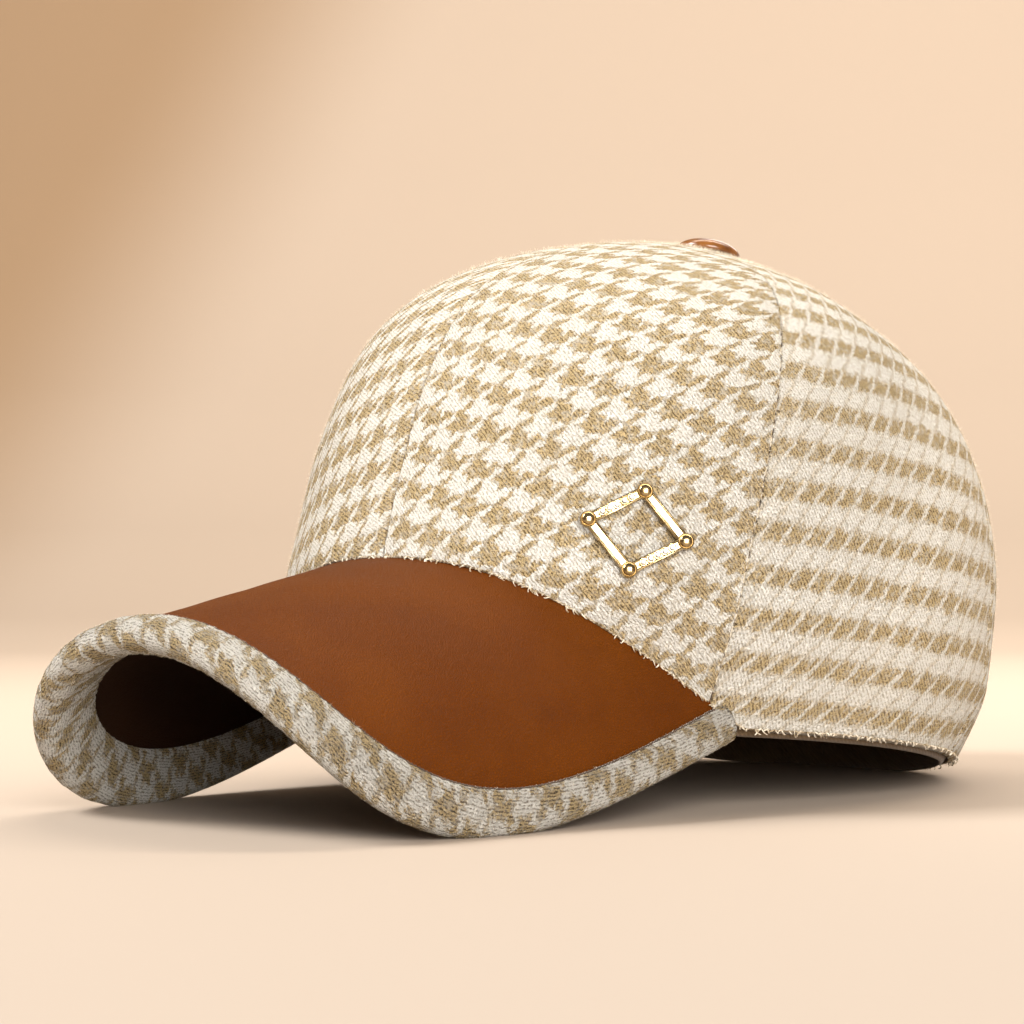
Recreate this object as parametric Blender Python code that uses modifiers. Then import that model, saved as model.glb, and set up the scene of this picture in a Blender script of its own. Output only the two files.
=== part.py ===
"""Houndstooth cap: a six panel tweed crown, a curved leather peak, a bound edge, a button and an ornament.

Metres, +Z up. The wearer's left is +X and the peak points to -Y. Every piece is worked out in the worn
frame, whose origin is the middle of the head opening, and is then leaned back onto the surface that it
rests on: the two lowest places of the peak's bound edge and the back of the hem.
"""
import math

import bmesh
import bpy
from mathutils import Matrix, Vector

# Crown, outer surface in the worn frame
HALF_WIDTH = 0.085
FRONT_REACH = 0.0995
BACK_REACH = 0.1073
CROWN_HEIGHT = 0.1246
BELLY_HEIGHT = 0.0163
BUTTON_SETBACK = 0.0091
PLAN_POWER = 2.03
TOP_CONE = 0.5
TOP_CONE_POWER = 8.5
TUCK_POWER = 1.4
CLOTH_WALL = 0.0022
SEAM_GAP = 0.0003
SEAM_TAPER = 0.85
GORE_BULGE = 0.0008
GORE_POWER = 1.5
BUTTON_HOLE_RADIUS = 0.003

# How the crown's profile is rounded, at the front and at the back: powers of the curve over the belly,
# and how far the rim draws in below the belly, as a share of the half width
PROFILE = {
    "front": {"shoulder": 2.02, "rise": 3.53, "tuck": 0.052},
    "back": {"shoulder": 1.7, "rise": 2.37, "tuck": 0.042},
}

# Seams from the hem to the button, in degrees round from the front
SEAMS = {
    "front": {"hem": 0.0, "top": 0.0},
    "side_front": {"hem": 57.4, "top": 61.8},
    "side_back": {"hem": 118.0, "top": 121.0},
    "back": {"hem": 180.0, "top": 180.0},
}
PANELS = {
    "crown_front": ("front", "side_front"),
    "crown_side": ("side_front", "side_back"),
    "crown_back": ("side_back", "back"),
}
PANEL_COLUMNS = 10
PANEL_ROWS = 15

# Hem: the edge of the head opening, which rises from the peak's corners and levels out at the back
HEM_BACK_HEIGHT = -0.0012
HEM_CORNER_HEIGHT = -0.0127
HEM_CURVE = 1.9
HEM_SLOPE = 0.27

# Sweatband inside the hem
BAND_WIDTH = 0.028
BAND_WALL = 0.0012
BAND_CLEARANCE = 0.0009
BAND_SHOWS = 0.0006
BAND_COLUMNS = 60
BAND_ROWS = 2

# Peak: part of a cone that leans down and forward from the forehead
PEAK_LENGTH = 0.079
PEAK_SQUARENESS = 3.5
PEAK_ROOT_HEIGHT = 0.0172
PEAK_DROOP = math.radians(26.9)
ARCH_INSET = 0.0223
ARCH_RADIUS = HALF_WIDTH - ARCH_INSET
ARCH_TIGHTENING = 0.121
ARCH_END = math.radians(79.9)
CREST_DIP = 0.0038
CREST_SPREAD = math.radians(30)
LEATHER_WALL = 0.002
LEATHER_CLEARANCE = 0.0003
SEAT_CLEARANCE = 0.0004
SHEET_END_SHARE = 0.99
SHEET_ROOT_SHARE = 0.98
SHEET_FOLLOWS_EDGE = 0.6
PEAK_COLUMNS = 44
PEAK_ROWS = 6

# Padded tweed strip round the peak's edge
BINDING_THICKNESS = 0.0078
BINDING_WIDTH = 0.009
BINDING_WIDTH_UNDER = 0.0135
BINDING_ROLL = 0.0011
BINDING_COLUMNS = 50
FOLD_CLEARANCE = 0.00045
NOSE_STEPS = 5

# Top button, turned
BUTTON_RADIUS = 0.009
BUTTON_DOME = 0.0036
BUTTON_RIM = 0.0011
BUTTON_ROUND = BUTTON_RIM / 3
BUTTON_POST_RADIUS = 0.0026
BUTTON_POST_BELOW = 0.0015
BUTTON_SIDES = 28
BUTTON_STEPS = 6

# Ornament: an open lozenge of four bars with a round boss at each corner, two bars set with stones
ORNAMENT_ROUND = math.radians(41.0)
ORNAMENT_HEIGHT = 0.027
ORNAMENT_LEAN = math.radians(-4.0)
LOZENGE_HALF_WIDTH = 0.0115
LOZENGE_HALF_HEIGHT = 0.0095
BAR_WIDTH = 0.0026
BAR_THICKNESS = 0.0012
BAR_EDGE = 0.0003
BOSS_RADIUS = 0.0019
BOSS_CROWN = 0.8
BOSS_THICKNESS = 0.0019
BOSS_SET = 0.0001
BOSS_SIDES = 16
STONE_RADIUS = 0.0008
STONE_HEIGHT = 0.0006
STONE_TABLE_SHARE = 0.6
STONE_SPACING = 0.0019
STONES_PER_BAR = 5
STONE_CLEARANCE = 0.0002
STONE_SIDES = 8

# How deep the cloth is pressed flat where it rests
REST_PRESS = 0.0005

PEAK_HALF = LEATHER_WALL + LEATHER_CLEARANCE / 2
BINDING_HALF = BINDING_THICKNESS / 2
BINDING_CAVITY = PEAK_HALF + FOLD_CLEARANCE
SEAT_OFFSET = PEAK_HALF + SEAT_CLEARANCE
SHARP_EDGE = math.radians(35)
SHARP_FACET = math.radians(10)

# Numerical work: halvings of a search, how deep below the opening and how near the top it looks, the
# pieces that an outline is measured in, the most that the cap can lean and the step along a surface
SOLVER_STEPS = 40
SEARCH_DEPTH = 3 * BELLY_HEIGHT
TOP_SHARE = 0.9
FINE_STEPS = 400
MOST_LEAN = math.radians(30)
TANGENT_STEP = 0.001


def solve(function, low, high):
    """The place between low and high where a function that goes from below zero to above it is zero."""
    for _ in range(SOLVER_STEPS):
        middle = (low + high) / 2
        if function(middle) < 0:
            low = middle
        else:
            high = middle
    return (low + high) / 2


def mix(first, second, share):
    return first + (second - first) * share


def signed_power(value, power):
    return math.copysign(abs(value) ** power, value)


def profile_value(key, around):
    """A value of the profile table, blended between the front and the back of the crown."""
    return mix(PROFILE["back"][key], PROFILE["front"][key], (1 + math.cos(around)) / 2)


def ring_share(around, height, inset):
    """How wide the crown is at a height, as a share of its widest ring."""
    if height < BELLY_HEIGHT:
        below = (BELLY_HEIGHT - height) / BELLY_HEIGHT
        return 1 - profile_value("tuck", around) * below ** TUCK_POWER
    climb = min((height - BELLY_HEIGHT) / (CROWN_HEIGHT - inset - BELLY_HEIGHT), 1.0)
    shoulder = profile_value("shoulder", around)
    rise = profile_value("rise", around)
    return (1 - climb ** rise) ** (1 / shoulder) * (1 - TOP_CONE * climb ** TOP_CONE_POWER)


def plan_radius(around):
    """The crown's plan as a superellipse of unit size."""
    total = abs(math.cos(around)) ** PLAN_POWER + abs(math.sin(around)) ** PLAN_POWER
    return total ** (-1 / PLAN_POWER)


def crown_point(around, height, inset=0.0):
    """A point of the crown, inset below its outer surface."""
    reach = (FRONT_REACH if math.cos(around) > 0 else BACK_REACH) - inset
    size = ring_share(around, height, inset) * plan_radius(around)
    return Vector((
        (HALF_WIDTH - inset) * size * math.sin(around),
        -reach * size * math.cos(around) + BUTTON_SETBACK * height / CROWN_HEIGHT,
        height,
    ))


def crown_excess(point, inset=0.0):
    """Below zero inside the crown's surface and above zero outside it."""
    side = point.x / (HALF_WIDTH - inset)
    ahead = BUTTON_SETBACK * point.z / CROWN_HEIGHT - point.y
    along = ahead / ((FRONT_REACH if ahead > 0 else BACK_REACH) - inset)
    span = (abs(side) ** PLAN_POWER + abs(along) ** PLAN_POWER) ** (1 / PLAN_POWER)
    return span - ring_share(math.atan2(side, along), point.z, inset)


PEAK_ROOT = -crown_point(0.0, PEAK_ROOT_HEIGHT).y


def arch_radius(forward):
    """The radius of the peak's cone, which tightens toward the front."""
    return ARCH_RADIUS - ARCH_TIGHTENING * forward


def crest_dip(arch, forward):
    """How much flatter the peak is along its middle, at the forehead, than a cone would be."""
    fade = min(max(1 - forward / PEAK_LENGTH, 0.0), 1.0)
    return CREST_DIP * fade * math.exp(-(arch / CREST_SPREAD) ** 2)


def peak_point(arch, forward, offset=0.0):
    """A point of the peak, from its angle round the arch, its way forward and its height."""
    radius = arch_radius(forward) + offset - crest_dip(arch, forward)
    lift = radius * math.cos(arch) - arch_radius(forward)
    return Vector((
        radius * math.sin(arch),
        -PEAK_ROOT - forward * math.cos(PEAK_DROOP) - lift * math.sin(PEAK_DROOP),
        PEAK_ROOT_HEIGHT - forward * math.sin(PEAK_DROOP) + lift * math.cos(PEAK_DROOP),
    ))


def peak_offset(point):
    """How far a point lies over the peak's middle surface."""
    back, up = point.y + PEAK_ROOT, point.z - PEAK_ROOT_HEIGHT
    forward = -back * math.cos(PEAK_DROOP) - up * math.sin(PEAK_DROOP)
    lift = up * math.cos(PEAK_DROOP) - back * math.sin(PEAK_DROOP)
    radius = arch_radius(forward)
    arch = math.atan2(point.x, lift + radius)
    return math.hypot(point.x, lift + radius) - radius + crest_dip(arch, forward)


def peak_meets_crown(arch, offset=0.0, inset=0.0):
    """How far forward the peak leaves the crown at an angle of its arch."""
    return solve(lambda forward: crown_excess(peak_point(arch, forward, offset), inset),
                 -BACK_REACH, PEAK_LENGTH)


# The corner where the peak's edge runs into the crown, in the peak's flat measures and in space
CORNER_FORWARD = peak_meets_crown(ARCH_END)
CORNER_ACROSS = ARCH_END * arch_radius(CORNER_FORWARD)
CORNER = peak_point(ARCH_END, CORNER_FORWARD)


def peak_outline(turn, inset=0.0):
    """The peak's rounded outline, laid flat: its way across and forward at a turn of a quarter each way."""
    power = 2 / PEAK_SQUARENESS
    across = (CORNER_ACROSS - inset) * signed_power(math.sin(turn), power)
    forward = CORNER_FORWARD + (PEAK_LENGTH - CORNER_FORWARD - inset) * abs(math.cos(turn)) ** power
    return across, forward


def outline_point(turn, inset, offset):
    """A point of the peak's edge, moved in by an inset and up by an offset."""
    across, forward = peak_outline(turn, inset)
    return peak_point(across / arch_radius(forward), forward, offset)


def outline_end(inset, offset, crown_inset):
    """The turn at which the peak's outline runs into the crown."""
    return solve(lambda turn: -crown_excess(outline_point(turn, inset, offset), crown_inset),
                 math.pi / 6, math.pi / 2)


def even_turns(inset, offset, end, count):
    """Turns from one end of the outline to the other, with equal lengths of edge between them."""
    fine = [mix(-end, end, i / FINE_STEPS) for i in range(FINE_STEPS + 1)]
    points = [outline_point(turn, inset, offset) for turn in fine]
    lengths = [0.0]
    for first, second in zip(points, points[1:]):
        lengths.append(lengths[-1] + (second - first).length)
    turns, place = [], 0
    for i in range(count + 1):
        wanted = lengths[-1] * i / count
        while place < len(fine) - 2 and lengths[place + 1] < wanted:
            place += 1
        part = (wanted - lengths[place]) / (lengths[place + 1] - lengths[place])
        turns.append(mix(fine[place], fine[place + 1], min(max(part, 0.0), 1.0)))
    return turns


HEM_BACK = crown_point(math.pi, HEM_BACK_HEIGHT).y


def hem_line(along):
    """The height of the head opening's edge at a place from the peak's corners to the back."""
    share = max((HEM_BACK - along) / (HEM_BACK - CORNER.y), 0.0)
    return mix(HEM_BACK_HEIGHT, HEM_CORNER_HEIGHT, share ** HEM_CURVE)


def hem_height(around, inset=0.0):
    """Where the crown meets the head opening's edge, which falls inward and so lies flat at the back."""
    return solve(lambda height: height + inset * HEM_SLOPE - hem_line(crown_point(around, height, inset).y),
                 -SEARCH_DEPTH, SEARCH_DEPTH)


def peak_height(around, inset, offset):
    """Where the crown comes down on a surface of the peak, or far below it where the peak has ended."""
    behind = math.cos(around) < 0
    if behind or peak_offset(crown_point(around, -SEARCH_DEPTH, inset)) > offset:
        return -SEARCH_DEPTH
    return solve(lambda height: peak_offset(crown_point(around, height, inset)) - offset,
                 -SEARCH_DEPTH, CROWN_HEIGHT / 2)


def panel_foot(around, inset):
    """The height of a panel's lower edge: on the peak at the front, and along the hem behind it."""
    return max(peak_height(around, inset, SEAT_OFFSET), hem_height(around, inset))


def band_foot(around, inset):
    """The height of the sweatband's lower edge, just below the hem and behind the peak's inner edge."""
    return max(peak_height(around, inset, -PEAK_HALF), hem_height(around, inset) - BAND_SHOWS)


def top_height(around, inset):
    """The height at which a panel ends at the button's hole."""
    axis = Vector((0, BUTTON_SETBACK))

    def inside_hole(height):
        return BUTTON_HOLE_RADIUS - (crown_point(around, height, inset).to_2d() - axis).length

    return solve(inside_hole, TOP_SHARE * (CROWN_HEIGHT - inset), CROWN_HEIGHT - inset)


def panel_column(seams, share, inset):
    """The points of a panel from its lower edge to the button's hole, at a share of the way across."""
    first, second = (SEAMS[name] for name in seams)
    points = []
    for row in range(PANEL_ROWS + 1):
        up = row / PANEL_ROWS
        left = math.radians(mix(first["hem"], first["top"], up))
        right = math.radians(mix(second["hem"], second["top"], up))
        radius = max(HALF_WIDTH * math.cos(up * math.pi / 2) ** SEAM_TAPER, BUTTON_HOLE_RADIUS)
        half_gap = SEAM_GAP / 2 / radius
        around = mix(left + half_gap, right - half_gap, share)
        bulge = GORE_BULGE * math.sin(math.pi * share) * math.sin(math.pi * up) ** GORE_POWER
        foot = panel_foot(around, inset)
        height = mix(foot, top_height(around, inset), math.sin(up * math.pi / 2))
        points.append(crown_point(around, height, inset - bulge))
    return points


def panel_grids(seams):
    """The outer and the inner face of a panel."""
    shares = [i / PANEL_COLUMNS for i in range(PANEL_COLUMNS + 1)]
    return ([panel_column(seams, share, 0.0) for share in shares],
            [panel_column(seams, share, CLOTH_WALL) for share in shares])


def band_grids():
    """The outer and the inner face of the sweatband."""
    grids = []
    for inset in (CLOTH_WALL + BAND_CLEARANCE, CLOTH_WALL + BAND_CLEARANCE + BAND_WALL):
        rings = []
        for i in range(BAND_COLUMNS):
            around = math.tau * i / BAND_COLUMNS
            around = around if around <= math.pi else around - math.tau
            foot = band_foot(around, inset)
            rings.append([crown_point(around, foot + BAND_WIDTH * up / BAND_ROWS, inset)
                          for up in range(BAND_ROWS + 1)])
        grids.append(rings)
    return grids


def sheet_grid(offset):
    """One face of a leather sheet, from inside the crown's wall to inside the binding's fold."""
    inset = BINDING_HALF
    end = outline_end(inset, offset, CLOTH_WALL)
    turns = even_turns(inset, offset, SHEET_END_SHARE * end, PEAK_COLUMNS)
    across, forward = peak_outline(end, inset)
    arch_end = across / arch_radius(forward)
    grid = []
    for i, turn in enumerate(turns):
        evenly = mix(-1, 1, i / PEAK_COLUMNS)
        below_edge = peak_outline(turn, inset)[0] / across
        arch = arch_end * SHEET_ROOT_SHARE * mix(evenly, below_edge, SHEET_FOLLOWS_EDGE)
        start = peak_meets_crown(arch, offset, CLOTH_WALL)
        inner = (arch * arch_radius(start), start)
        outer = peak_outline(turn, inset)
        row = []
        for step in range(PEAK_ROWS + 1):
            share = step / PEAK_ROWS
            forward = mix(inner[1], outer[1], share)
            row.append(peak_point(mix(inner[0], outer[0], share) / arch_radius(forward), forward, offset))
        grid.append(row)
    return grid


def binding_section(half, flat_edge):
    """A face of the binding's section, over the peak's edge from its upper border to its lower border."""
    upper = [(BINDING_WIDTH, flat_edge), (BINDING_WIDTH - BINDING_ROLL, half)]
    lower = [(BINDING_WIDTH_UNDER - BINDING_ROLL, -half), (BINDING_WIDTH_UNDER, -flat_edge)]
    nose = []
    for i in range(NOSE_STEPS + 1):
        angle = math.pi / 2 - math.pi * i / NOSE_STEPS
        nose.append((BINDING_HALF - half * math.cos(angle), half * math.sin(angle)))
    return upper + nose + lower


def binding_grids():
    """The outer face of the binding and the face of the fold inside it."""
    grids = []
    for half, flat_edge in ((BINDING_HALF, BINDING_HALF - BINDING_ROLL), (BINDING_CAVITY, BINDING_CAVITY)):
        strands = []
        for inset, offset in binding_section(half, flat_edge):
            end = outline_end(inset, offset, -SEAT_CLEARANCE)
            turns = even_turns(inset, offset, end, BINDING_COLUMNS)
            strands.append([outline_point(turn, inset, offset) for turn in turns])
        grids.append(strands)
    return grids


def rest_pose(peak_grid, back_grid):
    """The lean and drop that lay the peak's edge and the back of the hem on the surface together."""
    peak = [point for strand in peak_grid for point in strand]
    back = [point for column in back_grid for point in column]
    hem = [column[0] for column in back_grid]

    def lowest(points, lean):
        return min(point.z * math.cos(lean) - point.y * math.sin(lean) for point in points)

    lean = solve(lambda angle: lowest(peak, angle) - lowest(hem, angle), 0.0, MOST_LEAN)
    turned = Matrix.Rotation(-lean, 4, "X")
    spots = [turned @ point for point in peak + back]
    middle = (min(spot.y for spot in spots) + max(spot.y for spot in spots)) / 2
    drop = lowest(peak, lean) + REST_PRESS
    return Matrix.Translation((0, -middle, -drop)) @ turned


def material(name, color, roughness, metallic=0.0):
    made = bpy.data.materials.new(name)
    made.use_nodes = True
    shader = made.node_tree.nodes["Principled BSDF"]
    shader.inputs["Base Color"].default_value = (*color, 1.0)
    shader.inputs["Roughness"].default_value = roughness
    shader.inputs["Metallic"].default_value = metallic
    made.diffuse_color = (*color, 1.0)
    return made


def finish(made, name, surface, collection, sharp=SHARP_EDGE):
    """Name an object, give it its material and put it in the cap's collection."""
    made.name = made.data.name = name
    made.data.materials.clear()
    made.data.materials.append(surface)
    made.data.shade_smooth()
    made.data.set_sharp_from_angle(angle=sharp)
    for other in list(made.users_collection):
        other.objects.unlink(made)
    collection.objects.link(made)
    return made


def loft(name, outer, inner, pose, surface, collection, ring=False, floor=0.0):
    """A closed wall between an outer and an inner grid of points, pressed flat where it rests."""
    mesh = bmesh.new()

    def place(point):
        spot = pose @ point
        return mesh.verts.new((spot.x, spot.y, max(spot.z, floor)))

    faces = [[[place(point) for point in column] for column in grid] for grid in (outer, inner)]
    columns, rows = len(outer), len(outer[0])
    spans = columns if ring else columns - 1
    for grid in faces:
        for i in range(spans):
            for j in range(rows - 1):
                following = grid[(i + 1) % columns]
                mesh.faces.new((grid[i][j], following[j], following[j + 1], grid[i][j + 1]))
    top, under = faces
    for i in range(spans):
        after = (i + 1) % columns
        for j in (0, rows - 1):
            mesh.faces.new((top[i][j], top[after][j], under[after][j], under[i][j]))
    if not ring:
        for i in (0, columns - 1):
            for j in range(rows - 1):
                mesh.faces.new((top[i][j], top[i][j + 1], under[i][j + 1], under[i][j]))
    bmesh.ops.recalc_face_normals(mesh, faces=mesh.faces)
    data = bpy.data.meshes.new(name)
    mesh.to_mesh(data)
    mesh.free()
    return finish(bpy.data.objects.new(name, data), name, surface, collection)


def mirrored(grids):
    """The same grids on the other side of the cap."""
    return [[[Vector((-spot.x, spot.y, spot.z)) for spot in column] for column in grid] for grid in grids]


def make_panels(pose, surface, collection):
    for name, seams in PANELS.items():
        grids = panel_grids(seams)
        loft(name + "_left", *grids, pose, surface, collection)
        loft(name + "_right", *mirrored(grids), pose, surface, collection)


def make_peak(pose, upper_leather, under_leather, collection):
    middle = LEATHER_CLEARANCE / 2
    loft("peak_leather_top", sheet_grid(PEAK_HALF), sheet_grid(middle), pose, upper_leather, collection)
    loft("peak_leather_under", sheet_grid(-middle), sheet_grid(-PEAK_HALF), pose, under_leather, collection)


def make_button(pose, surface, collection):
    """A turned dome with a rounded rim, on a post that passes between the panels' points."""
    seat = CROWN_HEIGHT + LEATHER_CLEARANCE
    crest = seat + BUTTON_RIM + BUTTON_DOME
    profile = [(0.0, crest)]
    for i in range(1, BUTTON_STEPS):
        angle = math.pi / 2 * i / BUTTON_STEPS
        profile.append((BUTTON_RADIUS * math.sin(angle), seat + BUTTON_RIM + BUTTON_DOME * math.cos(angle)))
    profile += [(BUTTON_RADIUS, seat + BUTTON_RIM), (BUTTON_RADIUS, seat + BUTTON_ROUND)]
    profile += [(BUTTON_RADIUS - BUTTON_ROUND, seat), (BUTTON_POST_RADIUS, seat)]
    foot = CROWN_HEIGHT - CLOTH_WALL - BUTTON_POST_BELOW
    profile += [(BUTTON_POST_RADIUS, foot), (0.0, foot)]
    data = bpy.data.meshes.new("top_button")
    edges = [(i, i + 1) for i in range(len(profile) - 1)]
    data.from_pydata([(x, 0.0, z) for x, z in profile], edges, [])
    made = bpy.data.objects.new("top_button", data)
    made.matrix_world = pose @ Matrix.Translation((0, BUTTON_SETBACK, 0))
    turn = made.modifiers.new("turn", "SCREW")
    turn.steps = turn.render_steps = BUTTON_SIDES
    turn.use_merge_vertices = True
    turn.merge_threshold = 0.00001
    return finish(made, "top_button", surface, collection)


def ornament_frame(pose):
    """The ornament's place on the left front panel: its middle, with X across, Y up and Z off the cloth."""
    middle = crown_point(ORNAMENT_ROUND, ORNAMENT_HEIGHT)
    across = crown_point(ORNAMENT_ROUND + TANGENT_STEP / HALF_WIDTH, ORNAMENT_HEIGHT) - middle
    upward = crown_point(ORNAMENT_ROUND, ORNAMENT_HEIGHT + TANGENT_STEP) - middle
    normal = across.cross(upward).normalized()
    across.normalize()
    side = normal.cross(across)
    axes = Matrix((across, side, normal)).transposed().to_4x4()
    lift = GORE_BULGE + LEATHER_CLEARANCE
    return pose @ Matrix.Translation(middle + normal * lift) @ axes @ Matrix.Rotation(ORNAMENT_LEAN, 4, "Z")


def lozenge_corners():
    """The corners of the lozenge, counter-clockwise from the wearer's left."""
    return [Vector(corner) for corner in (
        (LOZENGE_HALF_WIDTH, 0, 0), (0, LOZENGE_HALF_HEIGHT, 0),
        (-LOZENGE_HALF_WIDTH, 0, 0), (0, -LOZENGE_HALF_HEIGHT, 0))]


def bar_matrix(first, second, height):
    """The frame of a bar between two corners, with X along it."""
    direction = (second - first).normalized()
    turn = math.atan2(direction.y, direction.x)
    return Matrix.Translation((first + second) / 2 + Vector((0, 0, height))) @ Matrix.Rotation(turn, 4, "Z")


def lozenge_grid(rows):
    """Columns at the corners of the lozenge, with a row at each way out from the bars' middle and height."""
    slope = math.atan2(LOZENGE_HALF_HEIGHT, LOZENGE_HALF_WIDTH)
    mitre = (1 / math.sin(slope), 1 / math.cos(slope))
    grid = []
    for i, corner in enumerate(lozenge_corners()):
        outward = corner.normalized() * mitre[i % 2]
        grid.append([corner + outward * way + Vector((0, 0, height)) for way, height in rows])
    return grid


def make_ornament(frame, surface, collection, cutters):
    """A lozenge of four mitred bars, joined to the bosses at its corners as one casting."""
    half, edge = BAR_WIDTH / 2, BAR_EDGE
    top = [(half, BAR_THICKNESS - edge), (half - edge, BAR_THICKNESS),
           (edge - half, BAR_THICKNESS), (-half, BAR_THICKNESS - edge)]
    under = [(way, 0.0) for way in (half, half - edge, edge - half, -half)]
    made = loft("ornament", lozenge_grid(top), lozenge_grid(under), Matrix(), surface, collection, ring=True)
    made.matrix_world = frame
    for number, corner in enumerate(lozenge_corners(), 1):
        mesh = bmesh.new()
        placed = Matrix.Translation(corner + Vector((0, 0, BOSS_THICKNESS / 2 - BOSS_SET)))
        bmesh.ops.create_cone(mesh, cap_ends=True, segments=BOSS_SIDES, radius1=BOSS_RADIUS,
                              radius2=BOSS_CROWN * BOSS_RADIUS, depth=BOSS_THICKNESS, matrix=placed)
        data = bpy.data.meshes.new(f"boss_{number}")
        mesh.to_mesh(data)
        mesh.free()
        boss = bpy.data.objects.new(data.name, data)
        boss.matrix_world = frame
        boss.hide_render = True
        boss.display_type = "WIRE"
        cutters.objects.link(boss)
        join = made.modifiers.new(data.name, "BOOLEAN")
        join.operation = "UNION"
        join.object = boss


def make_stones(frame, surface, collection):
    """Cut stones with a table and eight facets, in a row along two opposite bars."""
    mesh = bmesh.new()
    bmesh.ops.create_cone(mesh, cap_ends=True, segments=STONE_SIDES, radius1=STONE_RADIUS,
                          radius2=STONE_TABLE_SHARE * STONE_RADIUS, depth=STONE_HEIGHT)
    stone = bpy.data.meshes.new("stone")
    mesh.to_mesh(stone)
    mesh.free()
    height = BAR_THICKNESS + STONE_CLEARANCE + STONE_HEIGHT / 2
    number = 0
    corners = lozenge_corners()
    for first, second in ((corners[1], corners[2]), (corners[3], corners[0])):
        for i in range(STONES_PER_BAR):
            number += 1
            along = (i - (STONES_PER_BAR - 1) / 2) * STONE_SPACING
            made = bpy.data.objects.new(f"ornament_stone_{number:02d}", stone.copy())
            made.matrix_world = frame @ bar_matrix(first, second, height) @ Matrix.Translation((along, 0, 0))
            finish(made, made.name, surface, collection, sharp=SHARP_FACET)
    bpy.data.meshes.remove(stone)


def main():
    for old in list(bpy.data.objects):
        bpy.data.objects.remove(old, do_unlink=True)
    collection = bpy.data.collections.new("Houndstooth cap")
    cutters = bpy.data.collections.new("Cutters")
    bpy.context.scene.collection.children.link(collection)
    bpy.context.scene.collection.children.link(cutters)

    tweed = material("tweed", (0.72, 0.62, 0.46), 0.9)
    band_cloth = material("band cloth", (0.62, 0.5, 0.35), 0.9)
    brown_leather = material("brown leather", (0.24, 0.06, 0.008), 0.4)
    dark_leather = material("dark leather", (0.04, 0.012, 0.004), 0.6)
    gloss_brown = material("gloss brown", (0.14, 0.04, 0.01), 0.15)
    gold = material("gold", (0.75, 0.55, 0.3), 0.2, 1.0)
    crystal = material("crystal", (0.85, 0.85, 0.82), 0.05)

    binding = binding_grids()
    back = panel_grids(PANELS["crown_back"])
    pose = rest_pose(binding[0], back[0])
    make_panels(pose, tweed, collection)
    loft("sweatband", *band_grids(), pose, band_cloth, collection, ring=True, floor=REST_PRESS)
    make_peak(pose, brown_leather, dark_leather, collection)
    loft("peak_binding", *binding, pose, tweed, collection)
    make_button(pose, gloss_brown, collection)
    frame = ornament_frame(pose)
    make_ornament(frame, gold, collection, cutters)
    make_stones(frame, crystal, collection)


main()
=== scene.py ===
"""Houndstooth cap: the dressed model. Metres, +Z up, the peak points to -Y and the wearer's left is +X."""
import math
import random

import bpy
import numpy as np
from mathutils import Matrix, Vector


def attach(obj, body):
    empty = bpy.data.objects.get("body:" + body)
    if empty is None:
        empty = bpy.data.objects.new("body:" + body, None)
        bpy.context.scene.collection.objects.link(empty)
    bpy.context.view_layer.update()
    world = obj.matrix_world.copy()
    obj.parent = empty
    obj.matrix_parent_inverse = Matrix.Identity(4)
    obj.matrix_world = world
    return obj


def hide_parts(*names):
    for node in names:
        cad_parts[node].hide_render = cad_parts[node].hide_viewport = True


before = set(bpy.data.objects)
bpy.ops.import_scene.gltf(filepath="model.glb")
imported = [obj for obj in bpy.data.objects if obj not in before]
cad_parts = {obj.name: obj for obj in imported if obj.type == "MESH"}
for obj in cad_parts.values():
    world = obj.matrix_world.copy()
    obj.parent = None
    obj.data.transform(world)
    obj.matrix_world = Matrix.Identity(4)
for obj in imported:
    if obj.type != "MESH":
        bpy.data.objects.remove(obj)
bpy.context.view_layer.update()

# The crown, the peak and the way the cap leans at rest, as in the solids
HALF_WIDTH, FRONT_REACH, BACK_REACH = 0.085, 0.0995, 0.1073
CROWN_HEIGHT, BELLY_HEIGHT, BUTTON_SETBACK = 0.1246, 0.0163, 0.0091
PLAN_POWER, TOP_CONE, TOP_CONE_POWER, TUCK_POWER = 2.03, 0.5, 8.5, 1.4
PROFILE = {"shoulder": (2.02, 1.7), "rise": (3.53, 2.37), "tuck": (0.052, 0.042)}
# Each seam's angle round the crown in degrees, at the foot and at the top
SEAM_ANGLES = {"front": (0.0, 0.0), "side_front": (57.4, 61.8), "side_back": (118.0, 121.0),
               "back": (180.0, 180.0)}
CLOTH_WALL, SEAM_GAP, GORE_BULGE, HOLE_RADIUS = 0.0022, 0.0003, 0.0008, 0.003
HEM_BACK_HEIGHT, HEM_CORNER_HEIGHT, HEM_CURVE, HEM_SLOPE = -0.0012, -0.0127, 1.9, 0.27
PEAK_LENGTH, PEAK_SQUARENESS, PEAK_ROOT_HEIGHT = 0.079, 3.5, 0.0172
PEAK_DROOP, ARCH_RADIUS, ARCH_TIGHTENING = math.radians(26.9), 0.0627, 0.121
ARCH_END, CREST_DIP, CREST_SPREAD = math.radians(79.9), 0.0038, math.radians(30)
LEATHER_HALF, SEAT_OFFSET = 0.00215, 0.00255
BINDING_HALF, BINDING_CAVITY, BINDING_WIDTH, BINDING_WIDTH_UNDER = 0.0039, 0.0026, 0.009, 0.0135
LEAN, SHIFT, LIFT = 0.21985797, 0.0267662, 0.02296752
REST_FLOOR = 0.0

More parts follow.
